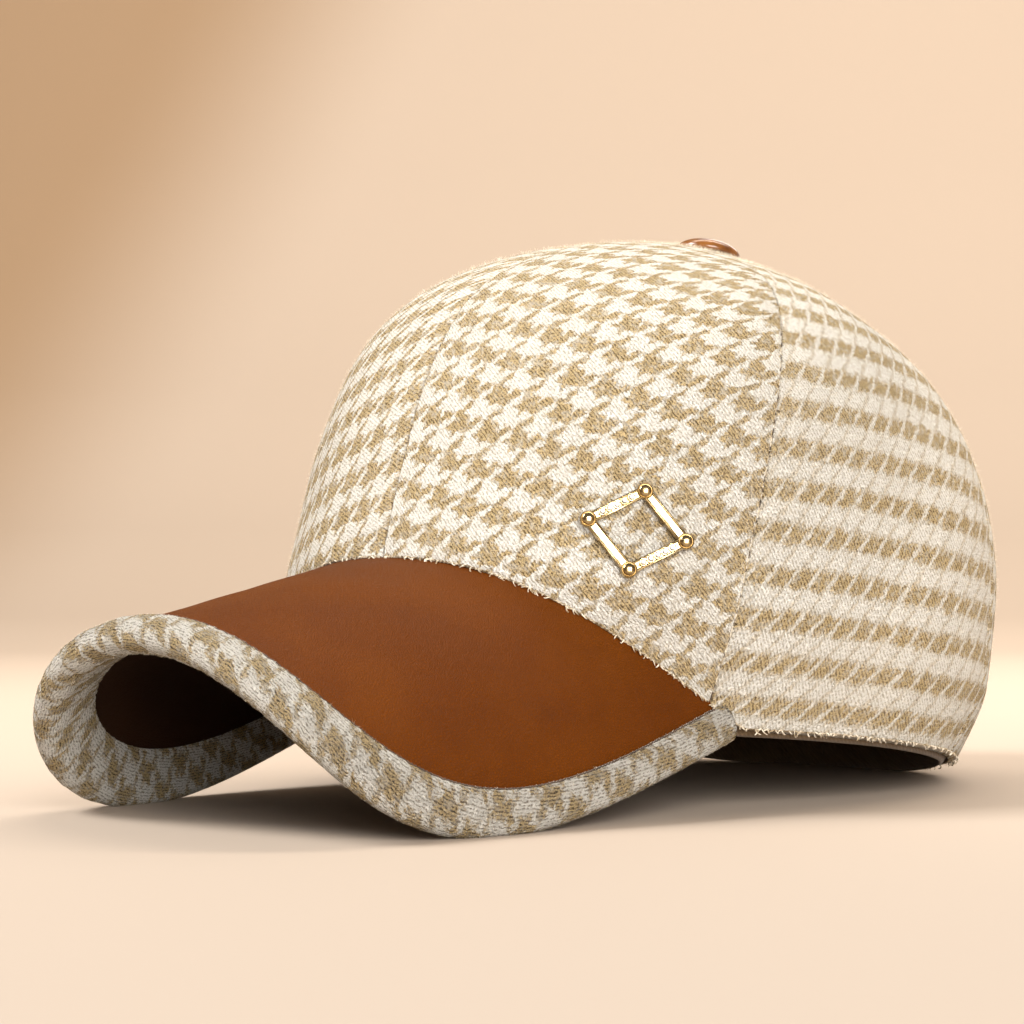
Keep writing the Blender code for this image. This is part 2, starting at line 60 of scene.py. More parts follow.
# The cloth's repeat on each panel: across and up, as (round the crown, up the crown) in metres
THREADS = 8
REPEATS = {
    "crown_front": ((0.0081, -0.0017), (0.0006, 0.0094)),
    "crown_side": ((0.0088, 0.0010), (0.0022, 0.0108)),
    "crown_back": ((0.0085, 0.0008), (0.0000, 0.0098)),
}
SIDE_SQUEEZE = 0.0058
STITCH_PUCKER = 0.0047
CROWN_HAIRS, BINDING_HAIRS = 5200, 9000
FRAYS = {"crown_front": 60, "crown_side": 130, "crown_back": 80}
BINDING_REPEAT, BINDING_BIAS = 0.0078, math.radians(38)
# The way that the stage and the camera face, round from the peak
STAGE_TURN = math.radians(41.34)

random.seed(7)
scatter = np.random.default_rng(7)


# The cap's surfaces

def mix(first, second, share):
    return first + (second - first) * share


def solve(function, low, high, steps=36):
    """Where a function of an array goes from below zero to above it, between low and high."""
    for _ in range(steps):
        middle = (low + high) / 2
        below = function(middle) < 0
        low, high = np.where(below, middle, low), np.where(below, high, middle)
    return (low + high) / 2


def profile_value(key, around):
    front, back = PROFILE[key]
    return mix(back, front, (1 + np.cos(around)) / 2)


def ring_share(around, height, inset):
    """How wide the crown is at a height, as a share of its widest ring."""
    below = np.clip((BELLY_HEIGHT - height) / BELLY_HEIGHT, 0, None)
    climb = np.clip((height - BELLY_HEIGHT) / (CROWN_HEIGHT - inset - BELLY_HEIGHT), 0, 1)
    above = (1 - climb ** profile_value("rise", around)) ** (1 / profile_value("shoulder", around))
    tucked = 1 - profile_value("tuck", around) * below ** TUCK_POWER
    return np.where(below > 0, tucked, above * (1 - TOP_CONE * climb ** TOP_CONE_POWER))


def plan_radius(around):
    return (np.abs(np.cos(around)) ** PLAN_POWER + np.abs(np.sin(around)) ** PLAN_POWER) ** (-1 / PLAN_POWER)


def crown_point(around, height, inset=0.0):
    """Points of the crown in the worn frame, an inset below its outer surface."""
    around, height, inset = np.broadcast_arrays(around, height, inset)
    reach = np.where(np.cos(around) > 0, FRONT_REACH, BACK_REACH) - inset
    size = ring_share(around, height, inset) * plan_radius(around)
    return np.stack([(HALF_WIDTH - inset) * size * np.sin(around),
                     -reach * size * np.cos(around) + BUTTON_SETBACK * height / CROWN_HEIGHT,
                     height], axis=-1)


def crown_excess(spot, inset):
    side = spot[..., 0] / (HALF_WIDTH - inset)
    ahead = BUTTON_SETBACK * spot[..., 2] / CROWN_HEIGHT - spot[..., 1]
    along = ahead / (np.where(ahead > 0, FRONT_REACH, BACK_REACH) - inset)
    span = (np.abs(side) ** PLAN_POWER + np.abs(along) ** PLAN_POWER) ** (1 / PLAN_POWER)
    return span - ring_share(np.arctan2(side, along), spot[..., 2], inset)


PEAK_ROOT = -float(crown_point(0.0, PEAK_ROOT_HEIGHT)[1])


def arch_radius(forward):
    return ARCH_RADIUS - ARCH_TIGHTENING * forward


def crest_dip(arch, forward):
    return CREST_DIP * np.clip(1 - forward / PEAK_LENGTH, 0, 1) * np.exp(-(arch / CREST_SPREAD) ** 2)


def peak_point(arch, forward, offset=0.0):
    """Points of the peak, from the angle round its arch, the way forward and the height over its middle."""
    radius = arch_radius(forward) + offset - crest_dip(arch, forward)
    lift = radius * np.cos(arch) - arch_radius(forward)
    return np.stack([radius * np.sin(arch),
                     -PEAK_ROOT - forward * math.cos(PEAK_DROOP) - lift * math.sin(PEAK_DROOP),
                     PEAK_ROOT_HEIGHT - forward * math.sin(PEAK_DROOP) + lift * math.cos(PEAK_DROOP)],
                    axis=-1)


def peak_offset(spot):
    back, up = spot[..., 1] + PEAK_ROOT, spot[..., 2] - PEAK_ROOT_HEIGHT
    forward = -back * math.cos(PEAK_DROOP) - up * math.sin(PEAK_DROOP)
    lift = up * math.cos(PEAK_DROOP) - back * math.sin(PEAK_DROOP)
    radius = arch_radius(forward)
    arch = np.arctan2(spot[..., 0], lift + radius)
    return np.hypot(spot[..., 0], lift + radius) - radius + crest_dip(arch, forward)


def peak_meets_crown(arch, offset=0.0, inset=0.0):
    arch = np.asarray(arch, float)
    return solve(lambda forward: crown_excess(peak_point(arch, forward, offset), inset),
                 np.full(arch.shape, -BACK_REACH), np.full(arch.shape, PEAK_LENGTH))


CORNER_FORWARD = float(peak_meets_crown(ARCH_END))
CORNER_ACROSS = ARCH_END * arch_radius(CORNER_FORWARD)
CORNER = peak_point(ARCH_END, CORNER_FORWARD)
HEM_BACK = float(crown_point(math.pi, HEM_BACK_HEIGHT)[1])


def outline(turn, inset):
    """The peak's rounded outline, laid flat: across and forward."""
    power = 2 / PEAK_SQUARENESS
    across = (CORNER_ACROSS - inset) * np.sign(turn) * np.abs(np.sin(turn)) ** power
    forward = CORNER_FORWARD + (PEAK_LENGTH - CORNER_FORWARD - inset) * np.abs(np.cos(turn)) ** power
    return across, forward


def outline_point(turn, inset, offset):
    across, forward = outline(turn, inset)
    return peak_point(across / arch_radius(forward), forward, offset)


def outline_end(inset, offset, crown_inset):
    return float(solve(lambda turn: -crown_excess(outline_point(turn, inset, offset), crown_inset),
                       np.array(math.pi / 6), np.array(math.pi / 2)))


def even_turns(inset, offset, end, count):
    """Turns from one end of the outline to the other, an equal length of edge apart."""
    fine = np.linspace(-end, end, 1601)
    steps = np.linalg.norm(np.diff(outline_point(fine, inset, offset), axis=0), axis=1)
    lengths = np.concatenate([[0], np.cumsum(steps)])
    return np.interp(np.linspace(0, lengths[-1], count + 1), lengths, fine), lengths[-1]


def hem_line(along):
    share = np.clip((HEM_BACK - along) / (HEM_BACK - CORNER[1]), 0, None)
    return mix(HEM_BACK_HEIGHT, HEM_CORNER_HEIGHT, share ** HEM_CURVE)


def hem_height(around, inset):
    around = np.asarray(around, float)
    wide = np.full(around.shape, 3 * BELLY_HEIGHT)

    def above_hem(height):
        return height + inset * HEM_SLOPE - hem_line(crown_point(around, height, inset)[..., 1])

    return solve(above_hem, -wide, wide)


def peak_height(around, inset, offset):
    """Where the crown comes down on a surface of the peak."""
    around = np.asarray(around, float)
    deep = np.full(around.shape, -3 * BELLY_HEIGHT)
    found = solve(lambda height: peak_offset(crown_point(around, height, inset)) - offset,
                  deep, np.full(around.shape, CROWN_HEIGHT / 2))
    ended = (np.cos(around) < 0) | (peak_offset(crown_point(around, deep, inset)) > offset)
    return np.where(ended, deep, found)


def panel_foot(around, inset):
    return np.maximum(peak_height(around, inset, SEAT_OFFSET), hem_height(around, inset))


def top_height(around, inset):
    around = np.asarray(around, float)
    axis = np.array([0, BUTTON_SETBACK])
    top = np.full(around.shape, CROWN_HEIGHT - inset)

    def inside_hole(height):
        return HOLE_RADIUS - np.linalg.norm(crown_point(around, height, inset)[..., :2] - axis, axis=-1)

    return solve(inside_hole, 0.9 * top, top)


def rest(spots):
    """Leans points of the worn frame back onto the surface that the cap rests on."""
    x, y, z = np.moveaxis(np.asarray(spots, float), -1, 0)
    return np.stack([x, y * math.cos(LEAN) + z * math.sin(LEAN) + SHIFT,
                     np.maximum(z * math.cos(LEAN) - y * math.sin(LEAN) + LIFT, REST_FLOOR)], axis=-1)


def mirror(spots, side):
    return spots * np.array([side, 1, 1])


# Making meshes

def make_piece(name, spots, faces, finish, threads=None, replaces=()):
    """A smooth mesh piece that rides on the cap, with its place in the weave as a UV map."""
    data = bpy.data.meshes.new(name)
    data.from_pydata(np.asarray(spots).reshape(-1, 3).tolist(), [], faces)
    data.shade_smooth()
    if threads is not None:
        picked = np.zeros(len(data.loops), np.int32)
        data.loops.foreach_get("vertex_index", picked)
        layer = data.uv_layers.new(name="threads")
        layer.data.foreach_set("uv", np.asarray(threads, np.float32).reshape(-1, 2)[picked].ravel())
    data.materials.append(finish)
    made = bpy.data.objects.new(name, data)
    bpy.context.scene.collection.objects.link(made)
    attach(made, "root")
    if replaces:
        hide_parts(*replaces)
    return made


def grid_faces(columns, rows, start=0, ring=False, flip=False):
    faces = []
    for i in range(columns if ring else columns - 1):
        after = (i + 1) % columns
        for j in range(rows - 1):
            near, far = start + i * rows + j, start + after * rows + j
            face = (near, far, far + 1, near + 1)
            faces.append(face[::-1] if flip else face)
    return faces


def shell_faces(columns, rows, ring=False, flip=False):
    """Faces of a closed wall whose outer grid comes first and inner grid second."""
    size = columns * rows
    faces = grid_faces(columns, rows, 0, ring, flip) + grid_faces(columns, rows, size, ring, not flip)
    for i in range(columns if ring else columns - 1):
        after = (i + 1) % columns
        for j, turned in ((0, True), (rows - 1, False)):
            face = (i * rows + j, after * rows + j, size + after * rows + j, size + i * rows + j)
            faces.append(face[::-1] if turned != flip else face)
    if not ring:
        for i, turned in ((0, False), (columns - 1, True)):
            for j in range(rows - 1):
                face = (i * rows + j, i * rows + j + 1, size + i * rows + j + 1, size + i * rows + j)
                faces.append(face[::-1] if turned != flip else face)
    return faces


def tube(path, radius, sides=6):
    """Points and faces of a tube along a path, its ends narrowed and capped."""
    path = np.asarray(path, float)
    ahead = np.gradient(path, axis=0)
    ahead /= np.linalg.norm(ahead, axis=1)[:, None] + 1e-12
    helper = np.where(np.abs(ahead[:, 2:3]) < 0.9, np.array([[0, 0, 1.0]]), np.array([[1.0, 0, 0]]))
    side = np.cross(ahead, helper)
    side /= np.linalg.norm(side, axis=1)[:, None]
    up = np.cross(side, ahead)
    angle = np.linspace(0, math.tau, sides, endpoint=False)
    radii = np.full(len(path), radius)
    radii[[0, -1]] *= 0.3
    spots = (path[:, None] + radii[:, None, None] * (np.cos(angle)[None, :, None] * side[:, None]
                                                     + np.sin(angle)[None, :, None] * up[:, None]))
    faces = []
    for i in range(len(path) - 1):
        for j in range(sides):
            k = (j + 1) % sides
            faces.append((i * sides + j, i * sides + k, (i + 1) * sides + k, (i + 1) * sides + j))
    faces.append(tuple(range(sides))[::-1])
    faces.append(tuple(range((len(path) - 1) * sides, len(path) * sides)))
    return spots.reshape(-1, 3), faces


def join(parts):
    """One list of points and faces out of many."""
    spots, faces, start = [], [], 0
    for some, made in parts:
        spots.append(some)
        faces += [tuple(start + k for k in face) for face in made]
        start += len(some)
    return np.concatenate(spots), faces


def resample(path, step):
    path = np.asarray(path, float)
    lengths = np.concatenate([[0], np.cumsum(np.linalg.norm(np.diff(path, axis=0), axis=1))])
    places = np.linspace(0, lengths[-1], max(int(lengths[-1] / step), 2) + 1)
    return np.stack([np.interp(places, lengths, path[:, k]) for k in range(3)], axis=1)


def twisted_yarn(path, radius, pitch, strands=2, step=0.0005):
    """Strands wound round each other along a path."""
    path = resample(path, step)
    ahead = np.gradient(path, axis=0)
    ahead /= np.linalg.norm(ahead, axis=1)[:, None]
    side = np.cross(ahead, [0, 0, 1.0])
    side /= np.linalg.norm(side, axis=1)[:, None]
    up = np.cross(side, ahead)
    turn = np.arange(len(path)) * step / pitch * math.tau
    made = []
    for k in range(strands):
        angle = turn + math.tau * k / strands
        strand = path + radius * 0.55 * (np.cos(angle)[:, None] * side + np.sin(angle)[:, None] * up)
        made.append(tube(strand, radius * 0.62, 6))
    return join(made)


# Materials

def add_node(tree, kind, inputs=(), **settings):
    made = tree.nodes.new(kind)
    for name, value in settings.items():
        setattr(made, name, value)
    for key, value in dict(inputs).items():
        if isinstance(value, bpy.types.NodeSocket):
            tree.links.new(value, made.inputs[key])
        else:
            made.inputs[key].default_value = value
    return made


def calc(tree, operation, *values, clamp=False):
    made = add_node(tree, "ShaderNodeMath", dict(enumerate(values)), operation=operation, use_clamp=clamp)
    return made.outputs[0]


def ramp_between(tree, value, low, high):
    """A smooth step of a value from low to high."""
    made = add_node(tree, "ShaderNodeMapRange", {"Value": value, "From Min": low, "From Max": high},
                    interpolation_type="SMOOTHSTEP")
    return made.outputs["Result"]


def mix_colors(tree, share, first, second):
    made = add_node(tree, "ShaderNodeMix", {0: share, 6: first, 7: second}, data_type="RGBA")
    return made.outputs[2]


def noise_value(tree, place, scale, detail=2.0, roughness=0.5, color=False):
    made = add_node(tree, "ShaderNodeTexNoise", {"Vector": place, "Scale": scale, "Detail": detail,
                                                 "Roughness": roughness})
    return made.outputs["Color" if color else "Fac"]


def new_group(name, inputs, outputs):
    tree = bpy.data.node_groups.new(name, "ShaderNodeTree")
    for label, kind, value in inputs:
        made = tree.interface.new_socket(label, in_out="INPUT", socket_type=kind)
        if value is not None:
            made.default_value = value
    for label, kind in outputs:
        tree.interface.new_socket(label, in_out="OUTPUT", socket_type=kind)
    return tree, tree.nodes.new("NodeGroupInput").outputs, tree.nodes.new("NodeGroupOutput").inputs


def vector_calc(tree, operation, inputs):
    return add_node(tree, "ShaderNodeVectorMath", inputs, operation=operation).outputs[0]


def dark_bands(tree, threads, hard, soft):
    """One for the first four threads of every eight and nought for the others, with soft borders."""
    wave = calc(tree, "PINGPONG", calc(tree, "ADD", threads, THREADS / 4), THREADS / 2)
    return ramp_between(tree, calc(tree, "SUBTRACT", wave, THREADS / 4), hard, soft)


def houndstooth_group():
    """Light and dark bands of four threads, crossed by slanting lines, in ragged yarn under hatched and
    speckled painted shade.
    """
    tree, given, put = new_group(
        "houndstooth cloth",
        [("Threads", "NodeSocketVector", None), ("Light", "NodeSocketColor", (0.94, 0.91, 0.84, 1)),
         ("Light Shade", "NodeSocketColor", (0.46, 0.39, 0.27, 1)),
         ("Dark", "NodeSocketColor", (0.63, 0.47, 0.24, 1)),
         ("Dark Shade", "NodeSocketColor", (0.13, 0.08, 0.025, 1)),
         ("Fleck", "NodeSocketColor", (0.04, 0.022, 0.007, 1)),
         ("Raggedness", "NodeSocketFloat", 1.0), ("Line Slope", "NodeSocketFloat", 1.0),
         ("Line Width", "NodeSocketFloat", 1.8), ("Dark Line Share", "NodeSocketFloat", 1.0),
         ("Softness", "NodeSocketFloat", 0.3)],
        [("Color", "NodeSocketColor"), ("Height", "NodeSocketFloat"), ("Dark Mask", "NodeSocketFloat")])
    place = given["Threads"]
    # the yarn's ends stray over their neighbours, far at some places and finely everywhere
    wander = noise_value(tree, place, 0.5, 2.0, 0.5, color=True)
    stray = noise_value(tree, place, 1.7, 3.0, 0.75, color=True)
    strays = vector_calc(tree, "ADD", {0: wander, 1: stray})
    centred = vector_calc(tree, "SUBTRACT", {0: strays, 1: (1.0, 1.0, 1.0)})
    pulled = vector_calc(tree, "SCALE", {0: centred, "Scale": given["Raggedness"]})
    moved = vector_calc(tree, "ADD", {0: place, 1: pulled})
    split = add_node(tree, "ShaderNodeSeparateXYZ", {0: moved})
    warp, weft = split.outputs[0], split.outputs[1]
    soft = given["Softness"]
    hard = calc(tree, "MULTIPLY", soft, -1.0)
    warp_dark, weft_dark = dark_bands(tree, warp, hard, soft), dark_bands(tree, weft, hard, soft)
    row = calc(tree, "MULTIPLY", calc(tree, "FLOORED_MODULO", weft, 4.0), given["Line Slope"])
    half_width = calc(tree, "MULTIPLY", given["Line Width"], 0.5)
    line = calc(tree, "PINGPONG", calc(tree, "SUBTRACT", calc(tree, "SUBTRACT", warp, row), half_width), 2.0)
    on_line = ramp_between(tree, calc(tree, "SUBTRACT", half_width, line), hard, soft)
    dark = mix_values(tree, on_line, weft_dark, warp_dark)
    dark = calc(tree, "MULTIPLY", dark, mix_values(tree, weft_dark, given["Dark Line Share"], 1.0))
    # painted shade: short slanting strokes where one thread shades the next
    flat = add_node(tree, "ShaderNodeSeparateXYZ", {0: place})
    slant = calc(tree, "ADD", calc(tree, "MULTIPLY", flat.outputs[0], 0.75),
                 calc(tree, "MULTIPLY", flat.outputs[1], 1.2))
    slant = calc(tree, "ADD", slant, calc(tree, "MULTIPLY", noise_value(tree, place, 1.1, 2.0, 0.6), 1.3))
    stroke = ramp_between(tree, calc(tree, "SINE", calc(tree, "MULTIPLY", slant, math.tau)), -0.1, 0.7)
    patch = ramp_between(tree, noise_value(tree, place, 1.3, 2.0, 0.7), 0.4, 0.58)
    stroke = calc(tree, "MULTIPLY", stroke, patch)
    grit = noise_value(tree, place, 2.4, 3.0, 0.8)
    # painted shade in fine random specks, mixed with the strokes towards the shade colours
    speckled_shade = ramp_between(tree, grit, 0.47, 0.66)
    light_shade = calc(tree, "MULTIPLY_ADD", stroke, 0.65, calc(tree, "MULTIPLY", speckled_shade, 0.3), clamp=True)
    dark_shade = calc(tree, "MULTIPLY_ADD", stroke, 0.9, calc(tree, "MULTIPLY", speckled_shade, 0.7), clamp=True)
    light = mix_colors(tree, light_shade, given["Light"], given["Light Shade"])
    deep = mix_colors(tree, dark_shade, given["Dark"], given["Dark Shade"])
    # the tan yarn is paler in places, where light fibres lie over it
    faded = ramp_between(tree, noise_value(tree, place, 0.55, 2.0, 0.6), 0.45, 0.7)
    pale = calc(tree, "MULTIPLY", faded, 0.45)
    deep = mix_colors(tree, pale, deep, given["Light Shade"])
    deep = mix_colors(tree, calc(tree, "MULTIPLY", pale, 0.6), deep, given["Light"])
    cloth = mix_colors(tree, dark, light, deep)
    speck = ramp_between(tree, noise_value(tree, place, 2.9, 2.0, 0.5), 0.6, 0.68)
    speck = calc(tree, "MULTIPLY", speck, calc(tree, "MULTIPLY_ADD", dark, 0.75, 0.12))
    tree.links.new(mix_colors(tree, speck, cloth, given["Fleck"]), put["Color"])
    across_warp = calc(tree, "ABSOLUTE", calc(tree, "SUBTRACT", calc(tree, "FRACT", warp), 0.5))
    across_weft = calc(tree, "ABSOLUTE", calc(tree, "SUBTRACT", calc(tree, "FRACT", weft), 0.5))
    across = mix_values(tree, on_line, across_weft, across_warp)
    back = calc(tree, "SUBTRACT", 0.8, calc(tree, "MULTIPLY", calc(tree, "MULTIPLY", across, across), 2.0))
    height = calc(tree, "MULTIPLY_ADD", stroke, -0.55, back)
    height = calc(tree, "MULTIPLY_ADD", grit, 0.9, height)
    height = calc(tree, "MULTIPLY_ADD", dark, -0.25, height)
    tree.links.new(height, put["Height"])
    tree.links.new(dark, put["Dark Mask"])
    return tree


def mix_values(tree, share, first, second):
    made = add_node(tree, "ShaderNodeMix", {0: share, 2: first, 3: second}, data_type="FLOAT")
    return made.outputs[0]


def leather_group():
    """Fine pebbled grain with creases, and slow changes of tone."""
    tree, given, put = new_group(
        "leather grain",
        [("Place", "NodeSocketVector", None), ("Grain", "NodeSocketFloat", 2600.0)],
        [("Height", "NodeSocketFloat"), ("Tone", "NodeSocketFloat"), ("Crease", "NodeSocketFloat"),
         ("Pebble", "NodeSocketFloat")])
    cells = add_node(tree, "ShaderNodeTexVoronoi",
                     {"Vector": given["Place"], "Scale": given["Grain"], "Randomness": 0.9},
                     feature="DISTANCE_TO_EDGE")
    pebble = ramp_between(tree, cells.outputs["Distance"], 0.0, 0.22)
    fine = noise_value(tree, given["Place"], 900.0, 3.0, 0.6)
    slow = noise_value(tree, given["Place"], 34.0, 3.0, 0.55)
    stretched = add_node(tree, "ShaderNodeMapping", {"Vector": given["Place"], "Scale": (1.0, 0.35, 1.0),
                                                     "Rotation": (0.0, 0.0, 0.5)}).outputs[0]
    crease = ramp_between(tree, noise_value(tree, stretched, 130.0, 4.0, 0.6), 0.56, 0.7)
    height = calc(tree, "MULTIPLY_ADD", fine, 0.6, calc(tree, "MULTIPLY", pebble, 0.5))
    tree.links.new(calc(tree, "MULTIPLY_ADD", crease, -0.2, height), put["Height"])
    tree.links.new(slow, put["Tone"])
    tree.links.new(pebble, put["Pebble"])
    tree.links.new(crease, put["Crease"])
    return tree


def twill_group():
    """Fine twill lines for the band and the lining."""
    tree, given, put = new_group(
        "fine twill", [("Place", "NodeSocketVector", None), ("Lines", "NodeSocketFloat", 1300.0)],
        [("Line", "NodeSocketFloat"), ("Height", "NodeSocketFloat")])
    split = add_node(tree, "ShaderNodeSeparateXYZ", {0: given["Place"]})
    slant = calc(tree, "ADD", calc(tree, "ADD", split.outputs[0], split.outputs[1]), split.outputs[2])
    line = calc(tree, "SINE", calc(tree, "MULTIPLY", slant, calc(tree, "MULTIPLY", given["Lines"], math.tau)))
    line = calc(tree, "MULTIPLY_ADD", line, 0.5, 0.5)
    tree.links.new(line, put["Line"])
    rough = noise_value(tree, given["Place"], 1500.0, 3.0)
    tree.links.new(calc(tree, "MULTIPLY_ADD", rough, 0.6, line), put["Height"])
    return tree


def new_material(name, **sockets):
    made = bpy.data.materials.new(name)
    made.use_nodes = True
    tree = made.node_tree
    shader = tree.nodes["Principled BSDF"]
    for label, value in sockets.items():
        shader.inputs[label.replace("_", " ")].default_value = value
    return made, tree, shader


def use_group(tree, group, **inputs):
    made = add_node(tree, "ShaderNodeGroup", node_tree=group)
    for label, value in inputs.items():
        socket = made.inputs[label.replace("_", " ")]
        if isinstance(value, bpy.types.NodeSocket):
            tree.links.new(value, socket)
        else:
            socket.default_value = value
    return made.outputs


def bump(tree, shader, height, strength, distance):
    made = add_node(tree, "ShaderNodeBump", {"Height": height, "Strength": strength, "Distance": distance})
    tree.links.new(made.outputs[0], shader.inputs["Normal"])


def tweed_material(name, group, raggedness, slope, width, dark_line, softness, relief, **tones):
    made, tree, shader = new_material(name, Roughness=0.95, Sheen_Weight=0.06, Sheen_Roughness=0.6,
                                      Specular_IOR_Level=0.08)
    threads = add_node(tree, "ShaderNodeUVMap", uv_map="threads").outputs[0]
    cloth = use_group(tree, group, Threads=threads, Raggedness=raggedness, Line_Slope=slope, Line_Width=width,
                      Dark_Line_Share=dark_line, Softness=softness, **tones)
    place = add_node(tree, "ShaderNodeTexCoord").outputs["Object"]
    slow = ramp_between(tree, noise_value(tree, place, 28.0, 3.0), 0.35, 0.75)
    worn = mix_colors(tree, calc(tree, "MULTIPLY", slow, 0.1), cloth["Color"], (0.62, 0.52, 0.38, 1))
    tree.links.new(worn, shader.inputs["Base Color"])
    tree.links.new(calc(tree, "MULTIPLY_ADD", cloth["Dark Mask"], 0.06, 0.88), shader.inputs["Roughness"])
    bump(tree, shader, cloth["Height"], 1.0, relief)
    return made


def leather_material(name, group, tone_low, tone_high, roughness, grain):
    made, tree, shader = new_material(name, Roughness=roughness, Specular_IOR_Level=0.2, IOR=1.3)
    place = add_node(tree, "ShaderNodeTexCoord").outputs["Object"]
    skin = use_group(tree, group, Place=place, Grain=grain)
    tone = mix_colors(tree, ramp_between(tree, skin["Tone"], 0.3, 0.7), (*tone_low, 1), (*tone_high, 1))
    # painted shade: the colour darkens between the grain's pebbles and in its creases
    grain_valley_shade = calc(tree, "MULTIPLY_ADD", skin["Crease"], 0.08, 0.3)
    grain_valley_shade = calc(tree, "MULTIPLY_ADD", skin["Pebble"], -0.3, grain_valley_shade)
    tone = mix_colors(tree, grain_valley_shade, tone, (*[v * 0.4 for v in tone_low], 1))
    tree.links.new(tone, shader.inputs["Base Color"])
    tree.links.new(calc(tree, "MULTIPLY_ADD", skin["Tone"], 0.2, roughness - 0.1), shader.inputs["Roughness"])
    bump(tree, shader, skin["Height"], 0.9, 0.0003)
    return made


def plain_cloth_material(name, group, color, lines):
    made, tree, shader = new_material(name, Roughness=0.9, Sheen_Weight=0.15, Specular_IOR_Level=0.2)
    place = add_node(tree, "ShaderNodeTexCoord").outputs["Object"]
    cloth = use_group(tree, group, Place=place, Lines=lines)
    blotch = calc(tree, "MULTIPLY", noise_value(tree, place, 300.0), 0.3)
    shade = calc(tree, "MULTIPLY_ADD", cloth["Line"], 0.35, blotch)
    tones = mix_colors(tree, shade, (*color, 1), (*[v * 0.6 for v in color], 1))
    tree.links.new(tones, shader.inputs["Base Color"])
    tree.links.new(calc(tree, "MULTIPLY_ADD", cloth["Line"], 0.08, 0.84), shader.inputs["Roughness"])
    bump(tree, shader, cloth["Height"], 0.4, 0.0002)
    return made


def yarn_material(name, color, shade):
    made, tree, shader = new_material(name, Roughness=0.9, Sheen_Weight=0.3, Specular_IOR_Level=0.15)
    place = add_node(tree, "ShaderNodeTexCoord").outputs["Object"]
    blotch = ramp_between(tree, noise_value(tree, place, 700.0, 3.0, 0.6), 0.35, 0.65)
    tree.links.new(mix_colors(tree, blotch, (*color, 1), (*shade, 1)), shader.inputs["Base Color"])
    tree.links.new(calc(tree, "MULTIPLY_ADD", blotch, 0.08, 0.86), shader.inputs["Roughness"])
    bump(tree, shader, noise_value(tree, place, 2500.0, 2.0), 0.5, 0.0001)
    return made


def gold_material(name):
    made, tree, shader = new_material(name, Metallic=1.0, Roughness=0.2)
    place = add_node(tree, "ShaderNodeTexCoord").outputs["Object"]
    smear = ramp_between(tree, noise_value(tree, place, 420.0, 4.0, 0.6), 0.35, 0.7)
    tone = mix_colors(tree, smear, (0.50, 0.385, 0.21, 1), (0.26, 0.18, 0.08, 1))
    tree.links.new(tone, shader.inputs["Base Color"])
    tree.links.new(calc(tree, "MULTIPLY_ADD", smear, 0.16, 0.12), shader.inputs["Roughness"])
    bump(tree, shader, noise_value(tree, place, 900.0, 3.0), 0.12, 0.0001)
    return made


def button_material(name):
    made, tree, shader = new_material(name, Roughness=0.25, Coat_Weight=0.15, Coat_Roughness=0.12,
                                      Specular_IOR_Level=0.4)
    place = add_node(tree, "ShaderNodeTexCoord").outputs["Object"]
    cloud = ramp_between(tree, noise_value(tree, place, 260.0, 3.0, 0.55), 0.35, 0.7)
    tone = mix_colors(tree, cloud, (0.2, 0.075, 0.016, 1), (0.1, 0.032, 0.006, 1))
    tree.links.new(tone, shader.inputs["Base Color"])
    tree.links.new(calc(tree, "MULTIPLY_ADD", cloud, 0.12, 0.2), shader.inputs["Roughness"])
    bump(tree, shader, noise_value(tree, place, 600.0, 2.0), 0.05, 0.0001)
    return made


def crystal_material(name):
    made, tree, shader = new_material(name, Roughness=0.03, Transmission_Weight=0.35, IOR=1.7)
    place = add_node(tree, "ShaderNodeTexCoord").outputs["Object"]
    # painted glints: fine random flecks of near white and grey in the stones' colour
    painted_glint = ramp_between(tree, noise_value(tree, place, 1500.0, 2.0), 0.4, 0.6)
    tone = mix_colors(tree, painted_glint, (0.95, 0.93, 0.88, 1), (0.4, 0.36, 0.3, 1))
    tree.links.new(tone, shader.inputs["Base Color"])
    return made


def floor_material(name):
    made, tree, shader = new_material(name, Roughness=0.8, Specular_IOR_Level=0.2)
    place = add_node(tree, "ShaderNodeTexCoord").outputs["Object"]
    cloud = noise_value(tree, place, 1.2, 2.0)
    plain = mix_colors(tree, cloud, (0.44, 0.365, 0.3, 1), (0.42, 0.345, 0.28, 1))
    # a painted soft tan shadow slants across one part of the wall
    squared = add_node(tree, "ShaderNodeMapping", {"Vector": place, "Rotation": (0.0, 0.0, -STAGE_TURN)})
    split = add_node(tree, "ShaderNodeSeparateXYZ", {0: squared.outputs[0]})
    slant = calc(tree, "MULTIPLY_ADD", split.outputs[2], -0.5, calc(tree, "ADD", split.outputs[0], 0.53))
    behind = ramp_between(tree, split.outputs[1], 1.0, 1.6)
    shade = calc(tree, "SUBTRACT", 1.0, ramp_between(tree, slant, -0.2, 0.12))
    shade = calc(tree, "MULTIPLY", calc(tree, "MULTIPLY", shade, behind), 0.8)
    tree.links.new(mix_colors(tree, shade, plain, (0.26, 0.165, 0.085, 1)), shader.inputs["Base Color"])
    return made


# The crown

def arc_table():
    """Lengths round the crown's widest ring, by angle."""
    angles = np.linspace(0, math.pi, 721)
    reach = np.where(np.cos(angles) > 0, FRONT_REACH, BACK_REACH)
    ring = np.stack([HALF_WIDTH * plan_radius(angles) * np.sin(angles),
                     reach * plan_radius(angles) * np.cos(angles)], axis=1)
    return angles, np.concatenate([[0], np.cumsum(np.linalg.norm(np.diff(ring, axis=0), axis=1))])


ARC_ANGLES, ARC_LENGTHS = arc_table()


